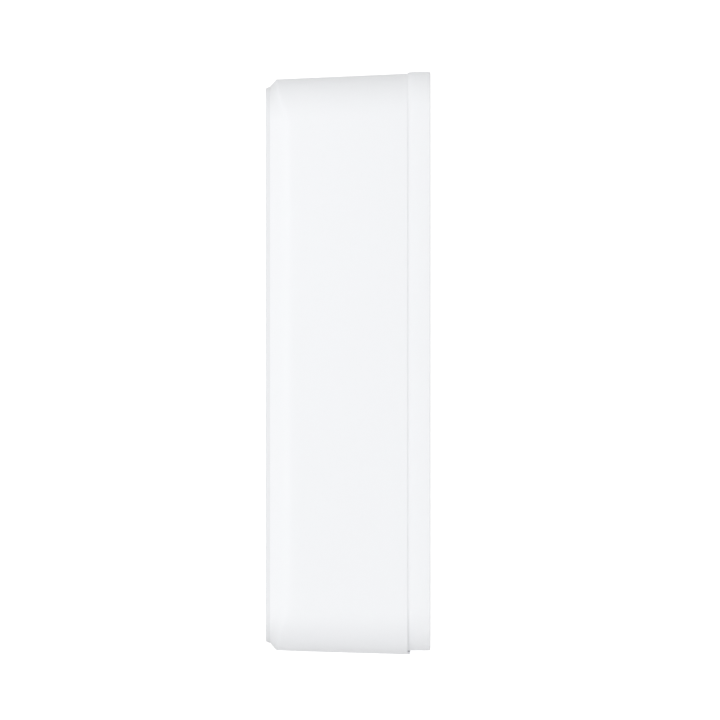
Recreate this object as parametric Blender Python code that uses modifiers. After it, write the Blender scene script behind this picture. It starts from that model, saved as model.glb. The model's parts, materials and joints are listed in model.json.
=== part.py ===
"""A battery video doorbell hanging on its wall bracket, as an assembly of separate pieces.

Frame: the bracket's wall face lies in the plane Y = 0 with its centre at the origin. The doorbell
faces -Y, +Z is up, and +X is to the right of someone who stands in front of it.
The sizes below are in millimetres, and MM turns them into the scene's metres.
"""

import math
from collections import namedtuple

import bmesh
import bpy
from mathutils import Matrix, Vector

MM = 0.001
GAP = 0.3  # clearance between neighbours that touch on the real object
OVER = 2.0  # how far a cutter runs past the wall that it cuts
ROOT = 0.5  # how far a joined shape reaches into its neighbour

Outline = namedtuple("Outline", "half_width half_height radius centre_z")

# Side profile, front to back
DEPTH = 38.8  # wall face to front face
BRACKET_DEPTH = 5.05
SEAM = 0.35  # between the bracket and the housing
Y_FRONT = -DEPTH
Y_HOUSING_FRONT = -37.45
Y_HOUSING_REAR = -BRACKET_DEPTH - SEAM
Y_DRAFT_END = -31.0  # where the straight draft meets the soft front edge

# Outlines, seen from the front
BRACKET_OUTLINE = Outline(24.75, 68.17, 10.8, 0.0)
REAR_RIM = Outline(25.0, 68.43, 11.0, -0.66)
DRAFT_END = Outline(24.3, 67.49, 10.3, -0.85)
# The soft front edge: (forward of the draft's end, inset of the long sides, inset of the ends)
FRONT_EDGE = (
    (2.8, 0.10, 0.05),
    (4.4, 0.32, 0.16),
    (5.4, 0.60, 0.36),
    (5.9, 0.82, 0.98),
    (6.45, 1.15, 1.74),
)
RIM_CHAMFER = 0.35
CORNER_STEPS = 7

WALL = 2.0
FRONT_WALL = 1.5  # behind the front cover's pocket
PLATE_STEP = 2.0  # the pocket and the cover's boss stand this far inside the outline
Y_PLATE_BACK = Y_HOUSING_FRONT - GAP
Y_BOSS_BACK = -37.0
Y_POCKET = Y_BOSS_BACK + GAP
Y_CAVITY_FRONT = Y_POCKET + FRONT_WALL
Y_FLANGE = (Y_BOSS_BACK + GAP, -35.5)  # the windows' and the ring's flanges, behind the cover

# Rear cover, seal and the posts that it is screwed to
COVER_Y = (-7.8, -5.8)
COVER_OUTLINE = Outline(23.4, 66.8, 9.4, -0.66)
LEDGE_Y = COVER_Y[0] - GAP
SEAL_Y = (-9.3, -8.1)
SEAL_OUTLINE = Outline(22.5, 65.9, 8.6, -0.66)
SEAL_WIDTH = 1.2
POST_X = 17.8
POST_HALF_Z = 60.3
POST_RADIUS = 2.8
Y_POST_END = -9.6
PILOT_RADIUS = 1.3
Y_PILOT_END = -18.0
SHANK_RADIUS = 1.0
HEAD_RADIUS = 2.1

# Front features
CAMERA_Z = 44.0
MIC_Z = 27.0
PIR_Z = 10.0
BUTTON_Z = -36.0
WINDOW_RADIUS = 9.5
BUTTON_RADIUS = 9.0
RING_RADIUS = 11.0
PIR_OUTLINE = Outline(7.5, 5.5, 2.4, PIR_Z)

# Boards and battery
MAIN_BOARD_Y = (-30.4, -29.2)
MAIN_BOARD_Z = (-57.0, 33.0)
MAIN_BOARD_HALF_X = 20.0
BOARD_SCREWS = ((-17.0, 29.0), (17.0, -52.5))
BOARD_POST_RADIUS = 2.6
Y_BOARD_PILOT_END = -34.4
CAMERA_BOARD_Y = (-26.0, -24.8)
IO_BOARD_Y = (-13.2, -12.2)
IO_STANDOFFS = ((-10.3, 24.4), (10.3, 24.4))
CRADLE_Z = (-47.5, 20.5)
CRADLE_Y = (-28.9, -14.0)
CRADLE_HALF_X = 20.6
CRADLE_WALL = 1.2
CELL_RADIUS = 9.15
CELL_LENGTH = 65.0
CELL_Y = -18.2

# Bracket openings, tongues and tab
WINDOW_HALF_X = 12.0
LOWER_WINDOW_Z = (-40.0, -12.0)
UPPER_WINDOW_Z = (12.0, 40.0)
SLOT_Z = (51.0, -50.0)
SLOT_RADIUS = 2.4
SLOT_HALF_LENGTH = 2.4
TONGUE_X = 9.5
TONGUE_HALF_X = 2.5
TONGUE_Z = (58.0, 60.0)
TONGUE_TIP_Y = -8.9
TAB_HALF_X = 5.0
TAB_Z = (-61.3, -58.7)
TAB_TIP_Y = -15.2

# Bottom face: the speaker's slots, the charging socket and the security screw, front to back
SPEAKER_Y = (-34.3, -22.2)
SPEAKER_HALF_X = 12.0
SPEAKER_SLOTS_Y = (-32.2, -30.1, -28.0, -25.9, -23.8)
SOCKET_Y = -18.85
FLAP_HALF_X = 5.4
FLAP_HALF_Y = 2.5
FLAP_Z = (-68.45, -67.35)
SOCKET_Z = (-66.3, -59.4)
SECURITY_Y = -12.9
SECURITY_HEAD_Z = -68.4
SECURITY_BOSS_RADIUS = 3.1
COUNTERBORE_TOP_Z = -64.3
BELOW_Z = -72.0  # where the bottom face's cutters start
SPEAKER_SLOT_HALF_X = 9.0
SPEAKER_SLOT_HALF_Y = 0.6

# Rear face
TERMINAL_X = 6.0
TERMINAL_Z = -19.0
SYNC_Z = 27.0
TAMPER_X = -7.0
TAMPER_TIP_Y = -1.0

# The axis that the doorbell tilts about on its bracket
TILT_Y = -BRACKET_DEPTH - 0.05
TILT_Z = 67.8

WHITE = (0.86, 0.87, 0.87)
COLOURS = {  # name: (colour, roughness, metallic)
    "white_plastic": (WHITE, 0.5, 0.0),
    "bracket_plastic": (WHITE, 0.6, 0.0),
    "dark_lens": ((0.01, 0.01, 0.012), 0.06, 0.0),
    "pir_plastic": ((0.8, 0.81, 0.8), 0.35, 0.0),
    "light_guide": ((0.75, 0.8, 0.84), 0.3, 0.0),
    "black_plastic": ((0.03, 0.03, 0.032), 0.5, 0.0),
    "clear_glass": ((0.05, 0.06, 0.09), 0.03, 0.0),
    "circuit_board": ((0.02, 0.16, 0.07), 0.45, 0.0),
    "tinned_steel": ((0.6, 0.6, 0.6), 0.3, 1.0),
    "brass": ((0.75, 0.55, 0.24), 0.3, 1.0),
    "rubber": ((0.05, 0.05, 0.05), 0.8, 0.0),
    "white_rubber": ((0.78, 0.79, 0.79), 0.7, 0.0),
    "cell_wrap": ((0.05, 0.2, 0.45), 0.4, 0.0),
    "foam": ((0.12, 0.12, 0.13), 0.95, 0.0),
    "led": ((0.85, 0.83, 0.6), 0.25, 0.0),
    "copper_flex": ((0.65, 0.36, 0.12), 0.4, 0.0),
}


def cleared_scene():
    """Removes the startup objects, and gives the collections for the parts and for the cutters."""
    for obj in list(bpy.data.objects):
        bpy.data.objects.remove(obj)
    collections = []
    for name in ("video_doorbell", "cutters"):
        collection = bpy.data.collections.new(name)
        bpy.context.scene.collection.children.link(collection)
        collections.append(collection)
    return collections


PARTS, CUTTERS = cleared_scene()


def material(name):
    if name in bpy.data.materials:
        return bpy.data.materials[name]
    colour, roughness, metallic = COLOURS[name]
    made = bpy.data.materials.new(name)
    made.use_nodes = True
    shader = made.node_tree.nodes["Principled BSDF"]
    shader.inputs["Base Color"].default_value = (*colour, 1.0)
    shader.inputs["Roughness"].default_value = roughness
    shader.inputs["Metallic"].default_value = metallic
    return made


def finished(bm, name, origin=(0.0, 0.0, 0.0)):
    """An object from a bmesh in millimetres, whose points are measured from `origin`."""
    bmesh.ops.scale(bm, vec=(MM, MM, MM), verts=bm.verts)
    bmesh.ops.recalc_face_normals(bm, faces=bm.faces)
    mesh = bpy.data.meshes.new(name)
    bm.to_mesh(mesh)
    bm.free()
    mesh.shade_smooth()
    mesh.set_sharp_from_angle(angle=math.radians(35))
    obj = bpy.data.objects.new(name, mesh)
    obj.location = Vector(origin) * MM
    return obj


def part(obj, finish):
    PARTS.objects.link(obj)
    obj.data.materials.append(material(finish))
    return obj


def helper(obj):
    """A shape that cuts or joins a part, and isn't one itself."""
    CUTTERS.objects.link(obj)
    obj.hide_render = True
    obj.display_type = "WIRE"
    return obj


def boolean(target, operation, shapes):
    for shape in shapes:
        change = target.modifiers.new(f"{operation} {shape.name}", "BOOLEAN")
        change.operation = operation
        change.solver = "EXACT"
        change.object = helper(shape)


def cut(target, *shapes):
    boolean(target, "DIFFERENCE", shapes)


def join(target, *shapes):
    boolean(target, "UNION", shapes)


def soften(obj, width, segments=2):
    bevel = obj.modifiers.new("Soft edges", "BEVEL")
    bevel.width = width * MM
    bevel.segments = segments
    bevel.limit_method = "ANGLE"
    bevel.angle_limit = math.radians(40)
    return obj


def block(name, x, y, z):
    """A box between the given pairs of x, y and z."""
    sides = [Vector(pair) for pair in (x, y, z)]
    middle = Vector([(pair[0] + pair[1]) / 2 for pair in sides])
    size = [pair[1] - pair[0] for pair in sides]
    bm = bmesh.new()
    bmesh.ops.create_cube(bm, size=1.0, matrix=Matrix.Diagonal((*size, 1.0)))
    return finished(bm, name, middle)


def disc(name, x, z, radius, y, segments=24):
    """A cylinder along Y between the pair y."""
    bm = bmesh.new()
    turn = Matrix.Rotation(math.pi / 2, 4, "X")
    bmesh.ops.create_cone(
        bm, cap_ends=True, segments=segments, radius1=radius, radius2=radius,
        depth=y[1] - y[0], matrix=turn,
    )
    return finished(bm, name, (x, (y[0] + y[1]) / 2, z))


def post(name, x, y, radius, z, segments=24):
    """A cylinder along Z between the pair z."""
    bm = bmesh.new()
    bmesh.ops.create_cone(
        bm, cap_ends=True, segments=segments, radius1=radius, radius2=radius, depth=z[1] - z[0]
    )
    return finished(bm, name, (x, y, (z[0] + z[1]) / 2))


def turned(name, origin, profile, closed=False, upright=False, steps=32):
    """A turned piece. The profile holds (radius, place along the axis), down its outer side first:
    front to back for an axis along Y, top to bottom for an upright one."""
    bm = bmesh.new()
    base = origin[2] if upright else origin[1]
    sign = 1 if upright else -1
    points = [bm.verts.new((radius, 0.0, sign * (along - base))) for radius, along in profile]
    for first, second in zip(points, points[1:]):
        bm.edges.new((first, second))
    if closed:
        bm.edges.new((points[-1], points[0]))
    obj = finished(bm, name, origin)
    if not upright:
        obj.rotation_euler.x = math.pi / 2
    screw = obj.modifiers.new("Turned", "SCREW")
    screw.steps = screw.render_steps = steps
    screw.use_merge_vertices = True
    screw.merge_threshold = 0.00001
    screw.use_smooth_shade = True
    return obj


def grown(outline, by):
    return Outline(
        outline.half_width + by, outline.half_height + by, outline.radius + by, outline.centre_z
    )


def outline_points(outline, steps):
    """The (x, z) points of a rounded rectangle, corner by corner."""
    points = []
    for corner, (side_x, side_z) in enumerate(((1, 1), (-1, 1), (-1, -1), (1, -1))):
        x = side_x * (outline.half_width - outline.radius)
        z = outline.centre_z + side_z * (outline.half_height - outline.radius)
        for step in range(steps + 1):
            angle = math.radians(90 * (corner + step / steps))
            points.append((x + outline.radius * math.cos(angle), z + outline.radius * math.sin(angle)))
    return points


def loft(name, sections, steps=CORNER_STEPS):
    """A closed body through (y, outline) sections."""
    bm = bmesh.new()
    rings = [
        [bm.verts.new((x, y, z)) for x, z in outline_points(outline, steps)]
        for y, outline in sections
    ]
    for first, second in zip(rings, rings[1:]):
        for near, far in zip(range(len(first)), [*range(1, len(first)), 0]):
            bm.faces.new((first[near], first[far], second[far], second[near]))
    bm.faces.new(rings[0])
    bm.faces.new(rings[-1])
    return finished(bm, name)


def smooth_route(points, between=4):
    """Points along a smooth curve through the given ones."""
    knots = [Vector(point) for point in (points[0], *points, points[-1])]
    route = []
    for before, start, end, after in zip(knots, knots[1:], knots[2:], knots[3:]):
        for step in range(between):
            t = step / between
            bend = 2 * before - 5 * start + 4 * end - after
            twist = 3 * (start - end) + after - before
            route.append(start + 0.5 * t * (end - before + t * (bend + t * twist)))
    return [*route, knots[-1]]


def cable(name, points, radius, finish):
    curve = bpy.data.curves.new(name, "CURVE")
    curve.dimensions = "3D"
    curve.bevel_depth = radius * MM
    curve.bevel_resolution = 2
    curve.use_fill_caps = True
    spline = curve.splines.new("POLY")
    route = smooth_route(points)
    spline.points.add(len(route) - 1)
    for place, point in zip(spline.points, route):
        place.co = (*(point * MM), 1.0)
    return part(bpy.data.objects.new(name, curve), finish)


def ribbon(name, route, half_width, finish):
    """A flat flex: (y, z) points along its length, swept across x."""
    bm = bmesh.new()
    edges = [
        [bm.verts.new((side * half_width, y, z)) for side in (-1, 1)] for y, z in route
    ]
    for first, second in zip(edges, edges[1:]):
        bm.faces.new((first[0], first[1], second[1], second[0]))
    obj = finished(bm, name)
    thickness = obj.modifiers.new("Thickness", "SOLIDIFY")
    thickness.thickness = 0.3 * MM
    thickness.offset = 0.0
    return part(obj, finish)


def housing_sections():
    """The housing's outer sections, from its rear rim forward."""
    sections = [
        (Y_HOUSING_REAR, grown(REAR_RIM, -RIM_CHAMFER)),
        (Y_HOUSING_REAR - RIM_CHAMFER, REAR_RIM),
        (Y_DRAFT_END, DRAFT_END),
    ]
    for forward, side, end in FRONT_EDGE:
        sections.append((
            Y_DRAFT_END - forward,
            Outline(
                DRAFT_END.half_width - side, DRAFT_END.half_height - end,
                DRAFT_END.radius - side, DRAFT_END.centre_z,
            ),
        ))
    return sections


def front_outline():
    """The outline where the housing's front face meets its chamfer."""
    return housing_sections()[-1][1]


def post_places():
    return [
        (side_x * POST_X, REAR_RIM.centre_z + side_z * POST_HALF_Z)
        for side_x in (-1, 1)
        for side_z in (-1, 1)
    ]


def main_housing():
    housing = part(loft("main_housing", housing_sections()), "white_plastic")
    inside = Outline(
        DRAFT_END.half_width - WALL - 0.3, DRAFT_END.half_height - WALL - 0.6,
        DRAFT_END.radius - WALL, DRAFT_END.centre_z,
    )
    cut(
        housing,
        loft("housing_hollow", [
            (Y_CAVITY_FRONT, inside),
            (Y_DRAFT_END, grown(DRAFT_END, -WALL)),
            (LEDGE_Y, grown(REAR_RIM, -WALL)),
            (LEDGE_Y, grown(COVER_OUTLINE, GAP)),
            (Y_HOUSING_REAR + OVER, grown(COVER_OUTLINE, GAP)),
        ]),
        loft("cover_pocket", [
            (Y_POCKET, grown(front_outline(), GAP - PLATE_STEP)),
            (Y_HOUSING_FRONT - OVER, grown(front_outline(), GAP - PLATE_STEP)),
        ]),
    )
    through = (Y_HOUSING_FRONT - OVER, Y_CAVITY_FRONT + OVER)
    cut(
        housing,
        disc("camera_opening", 0, CAMERA_Z, WINDOW_RADIUS + 1.4, through, 32),
        disc("button_opening", 0, BUTTON_Z, RING_RADIUS + 1.3, through, 32),
        disc("mic_opening", 0, MIC_Z, 1.2, through, 12),
        loft("pir_opening", [(y, grown(PIR_OUTLINE, 1.4)) for y in through], 3),
    )
    root = Y_CAVITY_FRONT - ROOT
    for number, (x, z) in enumerate(post_places()):
        join(housing, disc(f"cover_post_{number}", x, z, POST_RADIUS, (root, Y_POST_END), 16))
        cut(housing, disc(f"cover_pilot_{number}", x, z, PILOT_RADIUS, (Y_PILOT_END, Y_POST_END + OVER), 12))
    for number, (x, z) in enumerate(BOARD_SCREWS):
        board_face = MAIN_BOARD_Y[0] - GAP
        join(housing, disc(f"board_post_{number}", x, z, BOARD_POST_RADIUS, (root, board_face), 16))
        cut(housing, disc(f"board_pilot_{number}", x, z, PILOT_RADIUS, (Y_BOARD_PILOT_END, board_face + OVER), 12))
    boss_top = TAB_Z[0] - 0.7
    join(housing, post("security_boss", 0, SECURITY_Y, SECURITY_BOSS_RADIUS, (-67.6, boss_top), 20))
    cut(
        housing,
        post("security_counterbore", 0, SECURITY_Y, HEAD_RADIUS + GAP, (BELOW_Z, COUNTERBORE_TOP_Z), 20),
        post("security_hole", 0, SECURITY_Y, 1.5, (COUNTERBORE_TOP_Z - ROOT, boss_top + OVER), 16),
        block(
            "flap_recess", (-FLAP_HALF_X - GAP, FLAP_HALF_X + GAP),
            (SOCKET_Y - FLAP_HALF_Y - GAP, SOCKET_Y + FLAP_HALF_Y + GAP), (BELOW_Z, FLAP_Z[1] + GAP),
        ),
        block("socket_opening", (-4.9, 4.9), (SOCKET_Y - 2.1, SOCKET_Y + 2.3), (BELOW_Z, -64.5)),
    )
    for number, y in enumerate(SPEAKER_SLOTS_Y):
        slot_y = (y - SPEAKER_SLOT_HALF_Y, y + SPEAKER_SLOT_HALF_Y)
        across = (-SPEAKER_SLOT_HALF_X, SPEAKER_SLOT_HALF_X)
        cut(housing, block(f"speaker_slot_{number}", across, slot_y, (BELOW_Z, -64.0)))
    return housing


def front_cover():
    face = front_outline()
    cover = loft("front_cover", [
        (Y_FRONT, grown(face, -0.6)),
        (Y_FRONT + 0.25, grown(face, -0.28)),
        (Y_PLATE_BACK, face),
        (Y_PLATE_BACK, grown(face, -PLATE_STEP)),
        (Y_BOSS_BACK, grown(face, -PLATE_STEP)),
    ])
    part(cover, "white_plastic")
    through = (Y_FRONT - OVER, Y_BOSS_BACK + OVER)
    cut(
        cover,
        disc("cover_camera_hole", 0, CAMERA_Z, WINDOW_RADIUS + GAP, through, 40),
        disc("cover_button_hole", 0, BUTTON_Z, RING_RADIUS + GAP, through, 40),
        disc("cover_mic_hole", 0, MIC_Z, 0.7, through, 12),
        loft("cover_pir_hole", [(y, grown(PIR_OUTLINE, GAP)) for y in through], 4),
    )
    return cover


def camera():
    """The window in the front cover, and the camera, its lights and its light sensor behind it."""
    front = Y_FRONT + 0.15
    window = turned("camera_window", (0, front, CAMERA_Z), [
        (0, front), (WINDOW_RADIUS - 0.3, front), (WINDOW_RADIUS, front + 0.25),
        (WINDOW_RADIUS, Y_FLANGE[0]), (WINDOW_RADIUS + 1.1, Y_FLANGE[0]),
        (WINDOW_RADIUS + 1.1, Y_FLANGE[1]), (0, Y_FLANGE[1]),
    ], steps=40)
    glass = turned("lens_glass", (0, -35.15, CAMERA_Z), [
        (0, -35.15), (1.6, -35.05), (2.9, -34.75), (3.9, -34.2), (3.9, -33.8), (0, -33.8),
    ], steps=24)
    barrel = turned("lens_barrel", (0, -35.0, CAMERA_Z), [
        (6.2, -35.0), (6.2, -33.3), (4.5, -33.3), (4.5, -28.4), (3.0, -28.4),
        (3.0, -33.5), (4.2, -33.5), (4.2, -34.6), (4.9, -35.0),
    ], closed=True, steps=24)
    holder = part(block("lens_holder", (-9.0, 9.0), (-30.6, -26.3), (CAMERA_Z - 9.0, CAMERA_Z + 9.0)),
                  "black_plastic")
    join(
        holder,
        disc("holder_tube", 0, CAMERA_Z, 6.2, (-32.9, -28.0)),
        disc("holder_collar", 0, CAMERA_Z, 9.4, (-32.2, -30.2)),
    )
    cut(
        holder,
        disc("holder_bore", 0, CAMERA_Z, 4.8, (-35.0, -25.0)),
        block("sensor_pocket", (-5.0, 5.0), (-28.0, -25.0), (CAMERA_Z - 5.0, CAMERA_Z + 5.0)),
    )
    board = block("camera_board", (-12.0, 12.0), CAMERA_BOARD_Y, (CAMERA_Z - 12.0, CAMERA_Z + 12.0))
    part(window, "dark_lens")
    part(glass, "clear_glass")
    part(barrel, "black_plastic")
    part(board, "circuit_board")
    part(
        block("image_sensor", (-4.0, 4.0), (-27.2, -26.3), (CAMERA_Z - 3.5, CAMERA_Z + 3.5)),
        "black_plastic",
    )
    lights = turned("ir_board", (0, -33.3, CAMERA_Z), [
        (10.4, -33.3), (10.4, -32.5), (6.9, -32.5), (6.9, -33.3),
    ], closed=True, steps=24)
    part(lights, "circuit_board")
    for side, name in ((-1, "ir_led_left"), (1, "ir_led_right")):
        x = side * 8.65
        part(block(name, (x - 1.1, x + 1.1), (-34.9, -33.6), (CAMERA_Z - 1.1, CAMERA_Z + 1.1)), "led")
    top = CAMERA_Z + 8.65
    part(block("light_sensor", (-0.9, 0.9), (-34.5, -33.6), (top - 0.9, top + 0.9)), "black_plastic")


def motion_sensor():
    lens = loft("pir_lens", [
        (Y_FRONT + 0.12, grown(PIR_OUTLINE, -0.3)),
        (Y_FRONT + 0.4, PIR_OUTLINE),
        (Y_FLANGE[0], PIR_OUTLINE),
        (Y_FLANGE[0], grown(PIR_OUTLINE, 1.1)),
        (Y_FLANGE[1], grown(PIR_OUTLINE, 1.1)),
    ], 4)
    part(lens, "pir_plastic")
    cut(lens, loft("pir_hollow", [(y, grown(PIR_OUTLINE, -1.1)) for y in (-37.6, -33.0)], 3))
    sensor = turned("pir_sensor", (0, -35.0, PIR_Z), [
        (0, -35.0), (4.0, -35.0), (4.4, -34.6), (4.4, -31.3), (4.9, -31.3), (4.9, -30.7), (0, -30.7),
    ], steps=20)
    part(sensor, "tinned_steel")


def call_button():
    """The button, the ring that glows round it, and the switch below it. They share one axis."""
    front = Y_FRONT + 0.2
    cap = turned("button_cap", (0, front, BUTTON_Z), [
        (0, front + 0.25), (4.0, front + 0.18), (7.4, front), (8.6, front + 0.08),
        (BUTTON_RADIUS, front + 0.45), (BUTTON_RADIUS, -35.2), (10.0, -35.2), (10.0, -34.4),
        (7.6, -34.4), (7.6, -37.0), (2.0, -37.0), (2.0, -34.3), (0, -34.3),
    ], steps=40)
    inner = BUTTON_RADIUS + GAP
    ring_front = Y_FRONT + 0.12
    ring = turned("light_ring", (0, ring_front, BUTTON_Z), [
        (RING_RADIUS - 0.25, ring_front), (RING_RADIUS, ring_front + 0.25), (RING_RADIUS, Y_FLANGE[0]),
        (RING_RADIUS + 1.0, Y_FLANGE[0]), (RING_RADIUS + 1.0, Y_FLANGE[1]), (inner, Y_FLANGE[1]),
        (inner, ring_front + 0.2), (inner + 0.2, ring_front),
    ], closed=True, steps=40)
    seal = turned("button_seal", (0, -33.2, BUTTON_Z), [
        (10.4, -33.2), (10.4, -31.9), (8.0, -31.9), (8.0, -33.2),
    ], closed=True, steps=24)
    part(cap, "white_plastic")
    part(ring, "light_guide")
    part(seal, "white_rubber")
    stem = disc("switch_stem", 0, BUTTON_Z, 1.5, (-34.0, -32.6), 16)
    part(stem, "black_plastic")
    switch = block("tact_switch", (-3.0, 3.0), (-33.0, -30.7), (BUTTON_Z - 3.0, BUTTON_Z + 3.0))
    part(switch, "black_plastic")
    cut(switch, disc("switch_bore", 0, BUTTON_Z, 1.9, (-36.0, -31.4), 16))
    for side, name in ((-1, "ring_led_left"), (1, "ring_led_right")):
        x = side * 11.5
        part(block(name, (x - 0.9, x + 0.9), (-31.6, -30.7), (BUTTON_Z - 0.9, BUTTON_Z + 0.9)), "led")
    return cap, stem


def microphone():
    part(block("microphone", (-2.0, 2.0), (-31.9, -30.7), (MIC_Z - 1.5, MIC_Z + 1.5)), "tinned_steel")
    seal = turned("mic_seal", (0, Y_CAVITY_FRONT + GAP, MIC_Z), [
        (2.4, Y_CAVITY_FRONT + GAP), (2.4, -32.2), (0.8, -32.2), (0.8, Y_CAVITY_FRONT + GAP),
    ], closed=True, steps=16)
    part(seal, "rubber")


def screw(name, x, z, head, tip, finish="tinned_steel"):
    """A pan-head screw along Y, with its head at the back, between the pairs head and tip."""
    body = turned(name, (x, head[1], z), [
        (0, tip), (SHANK_RADIUS * 0.6, tip), (SHANK_RADIUS, tip + 0.5), (SHANK_RADIUS, head[0]),
        (HEAD_RADIUS, head[0]), (HEAD_RADIUS, head[1] - 0.35), (HEAD_RADIUS - 0.4, head[1]),
        (0, head[1]),
    ], steps=16)
    part(body, finish)
    slot_y = (head[1] - 0.5, head[1] + OVER)
    cut(
        body,
        block(f"{name}_slot", (x - 1.3, x + 1.3), slot_y, (z - 0.3, z + 0.3)),
        block(f"{name}_cross", (x - 0.3, x + 0.3), slot_y, (z - 1.3, z + 1.3)),
    )
    return body


def boards():
    main = block("main_board", (-MAIN_BOARD_HALF_X, MAIN_BOARD_HALF_X), MAIN_BOARD_Y, MAIN_BOARD_Z)
    part(main, "circuit_board")
    for number, (x, z) in enumerate(BOARD_SCREWS):
        hole = (MAIN_BOARD_Y[0] - OVER, MAIN_BOARD_Y[1] + OVER)
        cut(main, disc(f"board_hole_{number}", x, z, 1.4, hole, 12))
        seat = MAIN_BOARD_Y[1] + GAP
        screw(f"board_screw_{number + 1}", x, z, (seat, seat + 1.2), -33.6)
    shield = block("rf_shield", (-11.0, 11.0), (MAIN_BOARD_Y[1] + GAP, -26.8), (22.0, 32.0))
    part(soften(shield, 0.4), "tinned_steel")
    antenna = block("antenna_board", (-14.0, 14.0), (-20.0, -19.2), (57.0, 62.6))
    part(antenna, "circuit_board")
    cable("antenna_cable", [
        (13.0, -18.7, 59.0), (14.8, -18.2, 54.0), (15.0, -21.5, 44.0), (14.8, -26.0, 36.0),
        (13.5, -28.3, 31.0),
    ], 0.5, "black_plastic")
    ribbon("camera_ribbon", [
        (-24.3, 40.0), (-24.3, 33.0), (-24.7, 31.4), (-25.6, 30.6), (-26.2, 29.0), (-26.2, 25.0),
    ], 5.0, "copper_flex")


def battery():
    walls = CRADLE_WALL + GAP
    cradle = block("battery_cradle", (-CRADLE_HALF_X, CRADLE_HALF_X), CRADLE_Y, CRADLE_Z)
    part(cradle, "black_plastic")
    cut(cradle, block(
        "cradle_hollow", (CRADLE_WALL - CRADLE_HALF_X, CRADLE_HALF_X - CRADLE_WALL),
        (CRADLE_Y[0] + 1.0, CRADLE_Y[1] + OVER), (CRADLE_Z[0] + CRADLE_WALL, CRADLE_Z[1] - CRADLE_WALL),
    ))
    bottom = CRADLE_Z[0] + walls
    for side, name in ((-1, "battery_cell_left"), (1, "battery_cell_right")):
        x = side * (CELL_RADIUS + GAP / 2)
        top = bottom + CELL_LENGTH
        cell = turned(name, (x, CELL_Y, bottom), [
            (0, top), (3.0, top), (3.2, top - 0.9), (CELL_RADIUS - 0.6, top - 0.9),
            (CELL_RADIUS, top - 1.5), (CELL_RADIUS, bottom + 0.5), (CELL_RADIUS - 0.5, bottom),
            (0, bottom),
        ], upright=True, steps=24)
        part(cell, "cell_wrap")
    pad = block("battery_pad", (-12.0, 12.0), (-8.75, -8.1), (-12.0, 16.0))
    part(pad, "foam")
    cable("battery_cable", [
        (14.5, -12.0, 22.2), (16.5, -13.0, 24.0), (17.2, -18.0, 25.2), (15.8, -24.0, 25.0),
        (15.0, -28.0, 23.6),
    ], 0.7, "cell_wrap")


def sound():
    """The speaker over its slots in the bottom wall."""
    half = SPEAKER_HALF_X
    speaker = block("speaker_unit", (-half, half), SPEAKER_Y, (-64.2, -60.0))
    part(soften(speaker, 1.0), "black_plastic")
    gasket = block("speaker_gasket", (-half, half), SPEAKER_Y, (-65.2, -64.5))
    part(gasket, "foam")
    inner_y = (SPEAKER_Y[0] + 1.5, SPEAKER_Y[1] - 1.5)
    cut(gasket, block("gasket_hole", (1.5 - half, half - 1.5), inner_y, (-70.0, -60.0)))
    part(block("speaker_mesh", (-half, half), SPEAKER_Y, (-65.8, -65.5)), "tinned_steel")
    cable("speaker_cable", [
        (9.0, -27.0, -59.2), (9.0, -27.2, -57.0), (8.4, -27.6, -54.0), (7.6, -28.2, -51.5),
    ], 0.6, "black_plastic")


def charging_socket():
    """The socket, its board and the soft flap that covers it."""
    board = block("usb_board", (-8.0, 8.0), (SOCKET_Y - 2.95, SOCKET_Y - 1.95), (-65.6, -53.0))
    part(board, "circuit_board")
    port = block("usb_port", (-4.5, 4.5), (SOCKET_Y - 1.65, SOCKET_Y + 1.65), SOCKET_Z)
    part(soften(port, 1.2, 3), "tinned_steel")
    inner_z = (SOCKET_Z[0] - OVER, SOCKET_Z[1] - 1.0)
    hollow = block("usb_hollow", (-4.1, 4.1), (SOCKET_Y - 1.25, SOCKET_Y + 1.25), inner_z)
    cut(port, soften(hollow, 0.9, 3))
    tongue = (SOCKET_Z[0] + 0.8, SOCKET_Z[1] - 0.5)
    join(port, block("usb_tongue", (-3.3, 3.3), (SOCKET_Y - 0.35, SOCKET_Y + 0.35), tongue))
    flap = block(
        "usb_cover", (-FLAP_HALF_X, FLAP_HALF_X), (SOCKET_Y - FLAP_HALF_Y, SOCKET_Y + FLAP_HALF_Y), FLAP_Z
    )
    part(flap, "white_rubber")
    plug = block("flap_plug", (-4.0, 4.0), (SOCKET_Y - 1.3, SOCKET_Y + 1.3), (FLAP_Z[1] - ROOT, -66.7))
    join(flap, plug)
    return flap


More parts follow.
